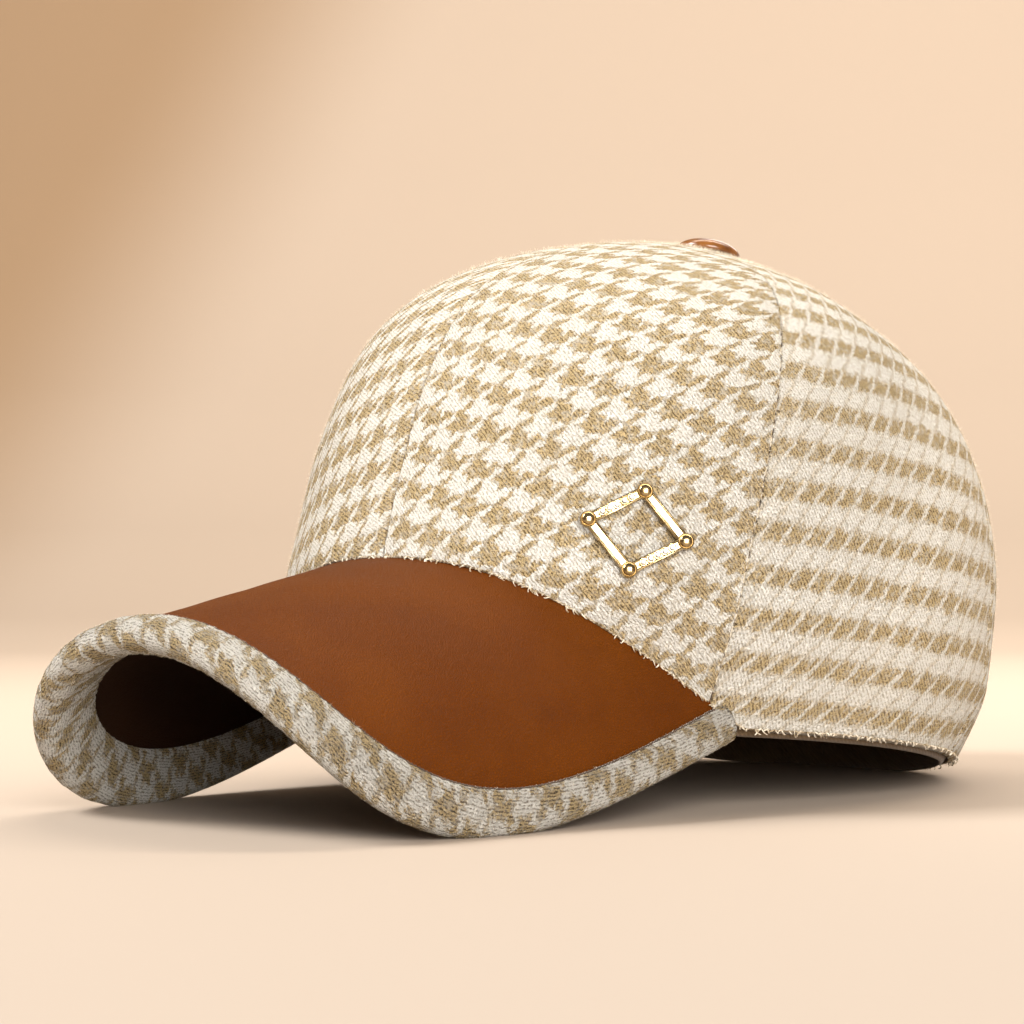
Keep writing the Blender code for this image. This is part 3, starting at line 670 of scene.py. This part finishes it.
def panel_threads(name, around, height, middle):
    """Where a place of a panel lies in its cloth, counted in threads."""
    (ax, ay), (bx, by) = REPEATS[name]
    round_it = ring_share(around, height, 0.0) * (np.interp(around, ARC_ANGLES, ARC_LENGTHS)
                                                  - np.interp(middle, ARC_ANGLES, ARC_LENGTHS))
    heights = np.linspace(-0.03, CROWN_HEIGHT * 0.999, 400)
    column = crown_point(np.full(400, middle), heights)
    climbs = np.concatenate([[0], np.cumsum(np.linalg.norm(np.diff(column, axis=0), axis=1))])
    up_it = np.interp(height, heights, climbs)
    up = (up_it - ay / ax * round_it) / (by - ay * bx / ax)
    across = round_it - bx * up
    if name == "crown_side":
        places = np.linspace(-0.07, 0.07, 281)
        share = np.clip((places + 0.030) / 0.022, 0, 1)
        pitch = mix(SIDE_SQUEEZE, ax, share * share * (3 - 2 * share))
        counts = np.concatenate([[0], np.cumsum(0.0005 / pitch[1:])])
        across = np.interp(across, places, counts)
    else:
        across = across / ax
    return np.stack([across * THREADS, up * THREADS], axis=-1)


def roll(distance, radius):
    """How far a rounded edge falls away at a distance from it."""
    near = np.clip(radius - distance, 0, radius)
    return radius - np.sqrt(radius ** 2 - near ** 2)


def panel_grid(name, seams, columns=60, rows=104):
    """A panel's outer and inner points and their threads, for the wearer's left."""
    first, second = SEAM_ANGLES[seams[0]], SEAM_ANGLES[seams[1]]
    foot_rows = [0, 0.0007, 0.0018, 0.0035, 0.0055, 0.008]
    up = np.concatenate([foot_rows, np.linspace(0.012, 1, rows - len(foot_rows))])[None, :]
    left, right = (np.radians(mix(seam[0], seam[1], up)) for seam in (first, second))
    radius = np.maximum(HALF_WIDTH * np.cos(up * math.pi / 2) ** 0.85, HOLE_RADIUS)
    width = (right - left) * radius
    near = np.array([0, 0.00012, 0.0003, 0.0006, 0.001, 0.0016, 0.0024])
    scaled = near[:, None] * np.minimum(1, width / 0.008) / width
    inner_share = np.linspace(0, 1, columns - 14)[:, None]
    between = mix(scaled[-1:] + 0.012, 1 - scaled[-1:] - 0.012, inner_share)
    share = np.concatenate([scaled, between, 1 - scaled[::-1]])
    half_gap = SEAM_GAP / 2 / radius
    around = mix(left + half_gap, right - half_gap, share)
    seam_distance = np.minimum(share, 1 - share) * width
    middle = math.radians((first[0] + second[0]) / 2)

    def surface(inset_base, outer):
        foot = panel_foot(around, inset_base)
        top = top_height(around, inset_base)
        height = mix(foot, top, np.sin(up * math.pi / 2))
        foot_distance = height - foot
        bulge = GORE_BULGE * np.sin(math.pi * share) * np.sin(math.pi * up) ** 1.5
        inset = inset_base - bulge
        if outer:
            inset = inset + roll(seam_distance, 0.0006) + roll(foot_distance, 0.0009)
            # stitches pucker the cloth beside the seams, and it sinks towards them
            pucker = np.sin(height / STITCH_PUCKER * math.tau + 3 * np.sin(height * 260))
            pucker = pucker * np.exp(-seam_distance / 0.0028)
            inset = inset + 0.00013 * pucker + 0.00035 * np.exp(-(seam_distance / 0.003) ** 2)
            tug = np.sin(around * 41 + 2 * np.sin(around * 13)) * np.exp(-foot_distance / 0.006)
            inset = inset + 0.00016 * tug
            inset = inset + 0.00022 * np.sin(around * 9 + height * 90) * np.sin(height * 130 - around * 5)
        return height, crown_point(around, height, inset)

    height, outer = surface(0.0, True)
    _, inner = surface(CLOTH_WALL, False)
    return outer, inner, panel_threads(name, around, height, middle)


def make_crown(cloths, lining):
    panels = {"crown_front": ("front", "side_front"), "crown_side": ("side_front", "side_back"),
              "crown_back": ("side_back", "back")}
    offsets = {"crown_front": (2.2, 1.1), "crown_side": (5.1, 3.4), "crown_back": (0.7, 6.2)}
    grids = {}
    for name, seams in panels.items():
        outer, inner, threads = panel_grid(name, seams)
        columns, rows = outer.shape[:2]
        for side, label in ((1, "left"), (-1, "right")):
            spots = rest(mirror(np.concatenate([outer.reshape(-1, 3), inner.reshape(-1, 3)]), side))
            placed = threads * np.array([side, 1]) + np.array(offsets[name]) + (0 if side > 0 else 3.0)
            made = make_piece(f"{name}_{label}_cloth", spots, shell_faces(columns, rows, flip=side < 0),
                              cloths[name], np.concatenate([placed.reshape(-1, 2)] * 2),
                              [f"{name}_{label}"])
            made.data.materials.append(lining)
            inside = np.zeros(len(made.data.polygons), np.int32)
            faces = (columns - 1) * (rows - 1)
            inside[faces:2 * faces] = 1
            made.data.polygons.foreach_set("material_index", inside)
            grids[name, label] = (spots[:columns * rows].reshape(columns, rows, 3), placed)
    return grids


# The peak

def leather_grid(offset, columns=120, rows=26):
    """A face of the leather, from inside the crown's wall to inside the binding's fold."""
    inset = BINDING_HALF
    end = outline_end(inset, offset, CLOTH_WALL)
    turns, _ = even_turns(inset, offset, 0.99 * end, columns)
    across_end, forward_end = outline(np.array(end), inset)
    arch_end = across_end / arch_radius(forward_end)
    across, forward = outline(turns, inset)
    evenly = np.linspace(-1, 1, columns + 1)
    arch = arch_end * 0.98 * mix(evenly, across / across_end, 0.6)
    start = peak_meets_crown(arch, offset, CLOTH_WALL)
    share = np.linspace(0, 1, rows)[None, :]
    way = mix(start[:, None], forward[:, None], share)
    side = mix((arch * arch_radius(start))[:, None], across[:, None], share)
    soft = 0.00012 * np.sin(side * 210 + way * 120) * np.sin(way * 170 - side * 60) * np.sin(math.pi * share)
    return peak_point(side / arch_radius(way), way, offset + (soft if offset > 0.001 else 0.0))


def make_leathers(brown, dark):
    # the underside's leather is a darker copy of the top's brown: painted shade under the peak
    for name, outer, inner, finish, label in (
            ("peak_leather_top_skin", LEATHER_HALF, 0.00015, brown, "brown_leather"),
            ("peak_leather_under_skin", -0.00015, -LEATHER_HALF, dark, "dark_leather")):
        grids = [leather_grid(offset) for offset in (outer, inner)]
        columns, rows = grids[0].shape[:2]
        spots = rest(np.concatenate([grid.reshape(-1, 3) for grid in grids]))
        make_piece(name, spots, shell_faces(columns, rows), finish, replaces=[name[:-5]])


def binding_section():
    """The padded strip's round section: how far in from the edge and how high, from its upper border on."""
    spots = [(BINDING_WIDTH, BINDING_CAVITY + 0.0001), (BINDING_WIDTH + 0.0001, 0.0031),
             (BINDING_WIDTH - 0.0003, 0.0036), (BINDING_WIDTH - 0.0012, 0.0039), (0.0062, 0.00405),
             (0.0050, 0.00400)]
    for i in range(15):
        angle = math.pi / 2 - math.pi * i / 14
        spots.append((BINDING_HALF * (1 - math.cos(angle)), BINDING_HALF * math.sin(angle)))
    spots += [(0.0062, -0.0040), (0.0085, -0.0040), (BINDING_WIDTH_UNDER - 0.0013, -0.0039),
              (BINDING_WIDTH_UNDER - 0.0004, -0.0035), (BINDING_WIDTH_UNDER, -0.0031),
              (BINDING_WIDTH_UNDER, -BINDING_CAVITY)]
    return spots


def make_binding(cloth):
    columns = 420
    outer, across = [], [0.0]
    section = binding_section()
    for i, (inset, offset) in enumerate(section):
        end = outline_end(inset, offset, -0.0004)
        turns, length = even_turns(inset, offset, end, columns)
        along = np.linspace(-length / 2, length / 2, columns + 1)
        crown_side = math.sin(math.pi * i / (len(section) - 1))
        ripple = 0.00016 * np.sin(along / 0.0068 * math.tau + 2.2 * np.sin(along * 190)) * crown_side
        ripple += 0.0001 * np.sin(along / 0.0029 * math.tau + i * 0.7)
        ripple[[0, -1]] = 0
        outer.append(outline_point(turns, inset + ripple * 0.5, offset + ripple * (1 if offset > 0 else -1)))
        if i:
            across.append(across[-1] + math.dist(section[i - 1], section[i]))
    outer = np.stack(outer)
    inner = []
    for inset in np.linspace(BINDING_WIDTH, BINDING_HALF - BINDING_CAVITY, 10):
        inner.append((inset, BINDING_CAVITY))
    for inset in np.linspace(BINDING_HALF - BINDING_CAVITY, BINDING_WIDTH_UNDER, len(section) - 10):
        inner.append((inset, -BINDING_CAVITY))
    fold = []
    for inset, offset in inner:
        end = outline_end(inset, offset, -0.0004)
        turns, _ = even_turns(inset, offset, end, columns)
        fold.append(outline_point(turns, inset, offset))
    fold = np.stack(fold)
    spots = rest(np.concatenate([outer.reshape(-1, 3), fold.reshape(-1, 3)]))
    along = np.linspace(-0.135, 0.135, columns + 1)[None, :] * np.ones((len(section), 1))
    across = (np.array(across) - 0.011)[:, None] * np.ones((1, columns + 1))
    bias_cos, bias_sin = math.cos(BINDING_BIAS), math.sin(BINDING_BIAS)
    threads = np.stack([(along * bias_cos + across * bias_sin) / BINDING_REPEAT * THREADS,
                        (across * bias_cos - along * bias_sin) / BINDING_REPEAT * THREADS], axis=-1)
    make_piece("peak_binding_cloth", spots, shell_faces(len(section), columns + 1, flip=True), cloth,
               np.concatenate([threads.reshape(-1, 2)] * 2), ["peak_binding"])
    return spots[:len(section) * (columns + 1)].reshape(len(section), columns + 1, 3)


# Band, button, ornament

def make_band(finish):
    """The sweatband: a closed ring of cloth just inside the crown's wall."""
    columns = 180
    around = np.linspace(-math.pi, math.pi, columns, endpoint=False)
    inset = CLOTH_WALL + 0.0009
    rows = np.array([0, 0.0002, 0.0005, 0.001, 0.003, 0.008, 0.014, 0.02, 0.0275, 0.028])
    grids = []
    for step, edge in ((0.0, 1), (0.0012, -1)):
        foot = np.maximum(peak_height(around, inset + step, -LEATHER_HALF),
                          hem_height(around, inset + step) - 0.0006)
        pinch = np.maximum(roll(rows, 0.0005), roll(rows[-1] - rows, 0.0005)) * edge
        grids.append(crown_point(around[:, None], foot[:, None] + rows[None, :],
                                 inset + step + pinch[None, :]))
    spots = rest(np.concatenate([grid.reshape(-1, 3) for grid in grids]))
    make_piece("sweatband_cloth", spots, shell_faces(columns, len(rows), ring=True), finish,
               replaces=["sweatband"])


def button_frame():
    """The middle of the button's seat, and the way it points."""
    foot = rest(np.array([0.0, BUTTON_SETBACK, CROWN_HEIGHT + 0.0003]))
    return foot, np.array([0.0, math.sin(LEAN), math.cos(LEAN)])


def make_button(finish):
    """A turned dome with a rolled rim, on its post."""
    foot, axis = button_frame()
    side, other = np.array([1.0, 0, 0]), np.cross(axis, [1.0, 0, 0])
    profile = [(0.0026, -0.0038), (0.0026, 0.0), (0.0084, 0.0), (0.0088, 0.0002), (0.009, 0.0006),
               (0.00895, 0.0011)]
    for i in range(1, 14):
        angle = math.radians(90 * (1 - i / 14))
        profile.append((0.00895 * math.sin(angle), 0.0011 + 0.0036 * math.cos(angle)))
    columns = 72
    angles = np.linspace(0, math.tau, columns, endpoint=False)
    spots = [foot + radius * (math.cos(a) * side + math.sin(a) * other) + rise * axis
             for a in angles for radius, rise in profile]
    faces = grid_faces(columns, len(profile), ring=True)
    top = len(spots)
    spots.append(foot + axis * 0.0047)
    spots.append(foot - axis * 0.0038)
    for i in range(columns):
        after = (i + 1) % columns
        faces.append((i * len(profile) + len(profile) - 1, after * len(profile) + len(profile) - 1, top))
        faces.append((after * len(profile), i * len(profile), top + 1))
    made = make_piece("top_button_dome", spots, faces, finish, replaces=["top_button"])
    made.data.set_sharp_from_angle(angle=math.radians(50))


# The ornament: its place on the left front panel, and its bars, bosses and stones
ORNAMENT_ROUND, ORNAMENT_HEIGHT, ORNAMENT_LEAN = math.radians(41), 0.027, math.radians(-4)
LOZENGE_HALF_WIDTH, LOZENGE_HALF_HEIGHT = 0.0115, 0.0095
BAR_HALF, BAR_THICKNESS, BOSS_RADIUS = 0.0013, 0.0012, 0.0019
STONE_SPACING, STONES_PER_BAR, CLAW_DISTANCE = 0.0019, 5, 0.0009


def ornament_frame():
    """The ornament's middle on the resting cap, with its ways across, up and off the cloth."""
    step = 0.001
    middle = crown_point(ORNAMENT_ROUND, ORNAMENT_HEIGHT)
    across = crown_point(ORNAMENT_ROUND + step / HALF_WIDTH, ORNAMENT_HEIGHT) - middle
    upward = crown_point(ORNAMENT_ROUND, ORNAMENT_HEIGHT + step) - middle
    normal = np.cross(across, upward)
    normal /= np.linalg.norm(normal)
    across /= np.linalg.norm(across)
    side = np.cross(normal, across)
    lean_cos, lean_sin = math.cos(ORNAMENT_LEAN), math.sin(ORNAMENT_LEAN)
    ways = np.stack([across * lean_cos + side * lean_sin, side * lean_cos - across * lean_sin, normal])
    return middle + normal * (GORE_BULGE + SEAM_GAP), ways


def on_ornament(spots):
    middle, ways = ornament_frame()
    return rest(middle + np.asarray(spots) @ ways)


def turned(profile, columns=28):
    """Points and faces of a turned form about Z, from a profile of radii and heights, foot to crest."""
    spots = [(radius * math.cos(angle), radius * math.sin(angle), height)
             for angle in np.linspace(0, math.tau, columns, endpoint=False) for radius, height in profile]
    faces = grid_faces(columns, len(profile), ring=True)
    low, high = len(spots), len(spots) + 1
    spots += [(0, 0, profile[0][1]), (0, 0, profile[-1][1])]
    for i in range(columns):
        after = (i + 1) % columns
        faces.append((after * len(profile), i * len(profile), low))
        faces.append((i * len(profile) + len(profile) - 1, after * len(profile) + len(profile) - 1, high))
    return np.array(spots), faces


def make_ornament(gold):
    """Mitred bars with raised rims, domed bosses at the corners, and cups and claws for the stones."""
    slope = math.atan2(LOZENGE_HALF_HEIGHT, LOZENGE_HALF_WIDTH)
    corners = np.array([(LOZENGE_HALF_WIDTH, 0), (0, LOZENGE_HALF_HEIGHT),
                        (-LOZENGE_HALF_WIDTH, 0), (0, -LOZENGE_HALF_HEIGHT)])
    section = [(1.0, 0.0), (1.0, 0.7), (0.9, 0.93), (0.74, 1.0), (0.6, 0.93), (0.52, 0.7), (0.0, 0.66),
               (-0.52, 0.7), (-0.6, 0.93), (-0.74, 1.0), (-0.9, 0.93), (-1.0, 0.7), (-1.0, 0.0)]
    bars = []
    for i, corner in enumerate(corners):
        outward = corner / np.linalg.norm(corner) / (math.sin(slope) if i % 2 == 0 else math.cos(slope))
        for way, height in section:
            bars.append((*(corner + outward * way * BAR_HALF), height * BAR_THICKNESS))
    faces = grid_faces(4, len(section), ring=True, flip=True)
    size = len(section)
    faces += [(i * size, (i + 1) % 4 * size, (i + 1) % 4 * size + size - 1, i * size + size - 1)
              for i in range(4)]
    parts = [(np.array(bars), faces)]
    dome = [(BOSS_RADIUS, 0.0), (BOSS_RADIUS, 0.0011), (BOSS_RADIUS * 0.93, 0.0013),
            (BOSS_RADIUS * 0.86, 0.00125)]
    dome += [(BOSS_RADIUS * 0.8 * math.cos(angle), 0.0012 + 0.0007 * math.sin(angle))
             for angle in np.radians((0, 15, 30, 45, 60, 75, 86))]
    for corner in corners:
        spots, made = turned(dome)
        parts.append((spots + np.array([*corner, 0]), made))
    cup_profile = [(0.0007, 0.0007), (0.00092, 0.0011), (0.00088, 0.00145), (0.0008, 0.00145)]
    claw_profile = [(0.00016, 0.0009), (0.00018, 0.0014), (0.00016, 0.0018), (0.00009, 0.0019)]
    for first, second in ((1, 2), (3, 0)):
        way = (corners[second] - corners[first]) / np.linalg.norm(corners[second] - corners[first])
        for k in range(STONES_PER_BAR):
            spot = (corners[first] + corners[second]) / 2
            spot = spot + way * (k - (STONES_PER_BAR - 1) / 2) * STONE_SPACING
            cup, made = turned(cup_profile, 16)
            parts.append((cup + np.array([*spot, 0]), made))
            for turn in np.radians((45, 135, 225, 315)):
                claw, made = turned(claw_profile, 8)
                foot = spot + CLAW_DISTANCE * np.array([math.cos(turn), math.sin(turn)])
                parts.append((claw + np.array([*foot, 0]), made))
    spots, faces = join(parts)
    made = make_piece("ornament_casting", on_ornament(spots), faces, gold, replaces=["ornament"])
    made.data.set_sharp_from_angle(angle=math.radians(40))


def finish_stones(finish):
    for name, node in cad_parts.items():
        if name.startswith("ornament_stone"):
            node.data.materials.clear()
            node.data.materials.append(finish)


# Yarns, stitches and hairs

def make_edge_yarns(grids, binding, light, dark):
    """The lumpy turned edge where the crown sits on the leather, along the hem and along the binding."""
    made = []
    for name in ("crown_front", "crown_side", "crown_back"):
        for label in ("left", "right"):
            grid, _ = grids[name, label]
            edge = mix(grid[:, 0], grid[:, 3], 0.4)
            made.append(twisted_yarn(edge[1:-1], 0.00042 if name == "crown_front" else 0.00034, 0.0021))
    spots, faces = join(made)
    spots[:, 2] = np.maximum(spots[:, 2], 0.0)
    make_piece("crown_edge_yarn", spots, faces, light)
    spots, faces = twisted_yarn(mix(binding[1], binding[2], 0.5)[2:-2], 0.0003, 0.0019)
    make_piece("binding_edge_yarn", spots, faces, dark)


def make_seam_stitches(grids, cream, thread):
    """A cream yarn that fills each seam, and dark stitches that show on it here and there."""
    made, fillers = [], []
    for name, column in (("crown_front", -1), ("crown_front", 0), ("crown_side", -1), ("crown_back", -1)):
        for label in ("left", "right"):
            if column == -1 and name == "crown_back" and label == "right" or column == 0 and label == "right":
                continue
            grid, _ = grids[name, label]
            line = resample(grid[column], 0.0002)
            out = line - np.array([0, 0.03, 0.04])
            out /= np.linalg.norm(out, axis=1)[:, None]
            fillers.append(tube((line - out * 0.00022)[6:-6:4], 0.0003, 6))
            place = 8
            while place < len(line) - 20:
                length = random.randint(6, 13)
                shift = random.uniform(-0.0001, 0.0001)
                part = line[place:place + length] + out[place:place + length] * (0.0001 + shift)
                made.append(tube(part[::2], random.choice((0.00016, 0.00027)), 5))
                place += length + random.randint(3, 12)
    spots, faces = join(made)
    make_piece("seam_stitches", spots, faces, thread)
    spots, faces = join(fillers)
    make_piece("seam_fillers", spots, faces, cream)


def fibre_mesh(roots, normals, length, width, lean):
    """Short bent hairs: a quad and a tip each."""
    count = len(roots)
    drift = scatter.normal(size=(count, 3))
    drift -= normals * np.sum(drift * normals, axis=1)[:, None]
    drift /= np.linalg.norm(drift, axis=1)[:, None]
    side = np.cross(normals, drift)
    long = length * scatter.uniform(0.4, 1.3, (count, 1))
    middle = roots + normals * long * 0.45 + drift * long * lean * 0.4
    tip = roots + normals * long * 0.7 + drift * long * lean * 1.1
    tip += side * long * scatter.normal(0, 0.25, (count, 1))
    half = side * width / 2
    spots = np.stack([roots - half - normals * 0.0002, roots + half - normals * 0.0002, middle + half * 0.8,
                      middle - half * 0.8, tip], axis=1).reshape(-1, 3)
    faces = []
    for i in range(0, count * 5, 5):
        faces += [(i, i + 1, i + 2, i + 3), (i + 3, i + 2, i + 4)]
    spots[:, 2] = np.maximum(spots[:, 2], 0.0)
    return spots, faces


def surface_samples(grid, count, rows=slice(None)):
    """Random places on a grid of points, with the way out of the surface there."""
    grid = grid[:, rows]
    i = scatter.integers(0, grid.shape[0] - 1, count)
    j = scatter.integers(0, grid.shape[1] - 1, count)
    a, b, c = grid[i, j], grid[i + 1, j], grid[i, j + 1]
    u, v = scatter.uniform(0, 1, (count, 1)), scatter.uniform(0, 1, (count, 1))
    normal = np.cross(b - a, c - a)
    normal /= np.linalg.norm(normal, axis=1)[:, None] + 1e-15
    return a + (b - a) * u + (c - a) * v, normal


def make_fuzz(grids, binding, wool):
    """Loose wool hairs all over the crown's panels and the binding."""
    parts = []
    for (_, label), (grid, _) in grids.items():
        roots, normals = surface_samples(grid, CROWN_HAIRS, slice(6, None))
        normals *= 1 if label == "left" else -1
        parts.append(fibre_mesh(roots, normals, 0.0012, 0.00006, 0.9))
    spots, faces = join(parts)
    make_piece("crown_wool_hairs", spots, faces, wool)
    roots, normals = surface_samples(binding, BINDING_HAIRS)
    spots, faces = fibre_mesh(roots, -normals, 0.0015, 0.00007, 0.9)
    make_piece("binding_wool_hairs", spots, faces, wool)


def make_frays(grids, cream):
    """Loops and loose ends of yarn at the hem and the foot of the crown."""
    made = []
    for (name, _), (grid, _) in grids.items():
        middle = grid.reshape(-1, 3).mean(axis=0)
        for _ in range(FRAYS[name]):
            i = random.randrange(4, grid.shape[0] - 5)
            root = grid[i, 2]
            along = grid[i + 1, 2] - grid[i - 1, 2]
            along /= np.linalg.norm(along)
            out = root - middle
            out[2] = 0
            out /= np.linalg.norm(out)
            down = np.array([0, 0, -1.0])
            reach = random.uniform(0.0006, 0.0024)
            spread = random.uniform(-0.002, 0.002)
            loop = [root - out * 0.0003, root + out * reach * 0.5 + along * spread * 0.2,
                    root + out * reach * 0.7 + down * reach * random.uniform(0.1, 0.8) + along * spread * 0.6,
                    root + out * reach * 0.2 + down * reach * 0.6 + along * spread]
            curve = []
            for t in np.linspace(0, 1, 9):
                w = np.array([(1 - t) ** 3, 3 * t * (1 - t) ** 2, 3 * t * t * (1 - t), t ** 3])
                curve.append((w[:, None] * np.array(loop)).sum(axis=0))
            made.append(tube(curve, random.uniform(0.00009, 0.00019), 5))
    spots, faces = join(made)
    spots[:, 2] = np.maximum(spots[:, 2], 0.0)
    make_piece("hem_frays", spots, faces, cream)


# Stage, light and camera

def make_stage():
    """A round floor that curves up into a wall on every side."""
    profile = [(0.4, 0.0), (0.8, 0.0), (1.25, 0.0), (1.55, 0.02), (1.8, 0.1), (1.97, 0.25), (2.06, 0.5),
               (2.1, 0.8), (2.1, 1.3)]
    count = 96
    spots, faces = [(0.0, 0.0, 0.0)], []
    for radius, height in profile:
        for i in range(count):
            turn = math.tau * i / count
            spots.append((radius * math.cos(turn), radius * math.sin(turn), height))
    for i in range(count):
        j = (i + 1) % count
        faces.append((0, 1 + i, 1 + j))
        for ring in range(len(profile) - 1):
            low = 1 + ring * count
            faces.append((low + i, low + count + i, low + count + j, low + j))
    data = bpy.data.meshes.new("floor")
    data.from_pydata(spots, [], faces)
    data.shade_smooth()
    data.materials.append(floor_material("pale floor"))
    floor = bpy.data.objects.new("floor", data)
    bpy.context.scene.collection.objects.link(floor)


def add_light(name, place, target, size, energy, color):
    data = bpy.data.lights.new(name, "AREA")
    data.size, data.energy, data.color = size, energy, color
    made = bpy.data.objects.new(name, data)
    made.location = place
    made.rotation_euler = (Vector(target) - Vector(place)).to_track_quat("-Z", "Y").to_euler()
    bpy.context.scene.collection.objects.link(made)


def make_lights():
    middle = (0.0, 0.0, 0.06)
    add_light("key", (-0.55, -0.75, 0.95), middle, 0.45, 21, (1.0, 0.985, 0.96))
    add_light("fill", (1.1, -0.75, 0.5), middle, 0.8, 32, (1.0, 0.975, 0.94))
    add_light("back", (-0.3, 1.1, 0.9), middle, 0.8, 5, (1.0, 0.95, 0.88))
    add_light("wall", (-0.1, 0.5, 1.25), (-1.15, 1.65, 0.2), 1.2, 45, (1.0, 0.91, 0.8))
    world = bpy.data.worlds.new("soft room")
    world.use_nodes = True
    world.node_tree.nodes["Background"].inputs["Color"].default_value = (1.0, 0.9, 0.8, 1)
    world.node_tree.nodes["Background"].inputs["Strength"].default_value = 0.22
    bpy.context.scene.world = world
    bpy.context.scene.view_settings.view_transform = "Standard"


def make_camera():
    elevation, distance = math.radians(-1.48), 0.6445
    target = Vector((-0.0133, -0.0033, 0.0718))
    back = Vector((math.sin(STAGE_TURN) * math.cos(elevation),
                   -math.cos(STAGE_TURN) * math.cos(elevation), math.sin(elevation)))
    data = bpy.data.cameras.new("camera")
    data.lens, data.sensor_width = 87.64, 36.0
    made = bpy.data.objects.new("camera", data)
    made.location = target + back * distance
    made.rotation_euler = (-back).to_track_quat("-Z", "Y").to_euler()
    bpy.context.scene.collection.objects.link(made)
    bpy.context.scene.camera = made


def main():
    make_camera()
    weave, grain, twill = houndstooth_group(), leather_group(), twill_group()
    front_tweed = tweed_material("houndstooth front", weave, 2.2, 1.0, 1.75, 0.95, 0.3, 0.0008)
    side_tweed = tweed_material("houndstooth sides", weave, 2.6, 0.85, 1.5, 0.5, 0.75, 0.0007)
    binding_tweed = tweed_material("houndstooth binding", weave, 3.2, 1.0, 1.6, 0.9, 0.5, 0.0019,
                                   Light=(0.96, 0.93, 0.86, 1), Light_Shade=(0.2, 0.15, 0.08, 1),
                                   Dark_Shade=(0.06, 0.037, 0.012, 1))
    lining = plain_cloth_material("lining twill", twill, (0.24, 0.17, 0.1), 900.0)
    # painted shade: the sweatband's tan twill is darkened to a dark brown, so that it stays dim under the hem
    shaded_band_cloth = plain_cloth_material("sweatband twill in painted shade", twill, (0.15, 0.1, 0.055), 700.0)
    brown = leather_material("brown leather", grain, (0.1, 0.023, 0.0001), (0.122, 0.03, 0.0003),
                             0.55, 1700.0)
    # painted shade: the peak's underside is a darker copy of the brown leather
    dark = leather_material("dark leather", grain, (0.022, 0.008, 0.003), (0.035, 0.013, 0.005),
                            0.6, 1800.0)
    cream = yarn_material("cream edge yarn", (0.78, 0.70, 0.57), (0.3, 0.22, 0.12))
    edge_yarn = yarn_material("turned edge yarn", (0.58, 0.49, 0.35), (0.12, 0.075, 0.03))
    wool = yarn_material("loose wool", (0.88, 0.82, 0.7), (0.7, 0.58, 0.38))
    stitch = yarn_material("dark stitching", (0.03, 0.018, 0.01), (0.08, 0.05, 0.03))
    cloths = {"crown_front": front_tweed, "crown_side": side_tweed, "crown_back": front_tweed}
    grids = make_crown(cloths, lining)
    make_leathers(brown, dark)
    binding = make_binding(binding_tweed)
    make_band(shaded_band_cloth)
    make_button(button_material("glossy brown"))
    make_ornament(gold_material("pale gold"))
    finish_stones(crystal_material("cut crystal"))
    make_edge_yarns(grids, binding, edge_yarn, stitch)
    make_seam_stitches(grids, cream, stitch)
    make_frays(grids, cream)
    make_fuzz(grids, binding, wool)
    make_stage()
    make_lights()


main()
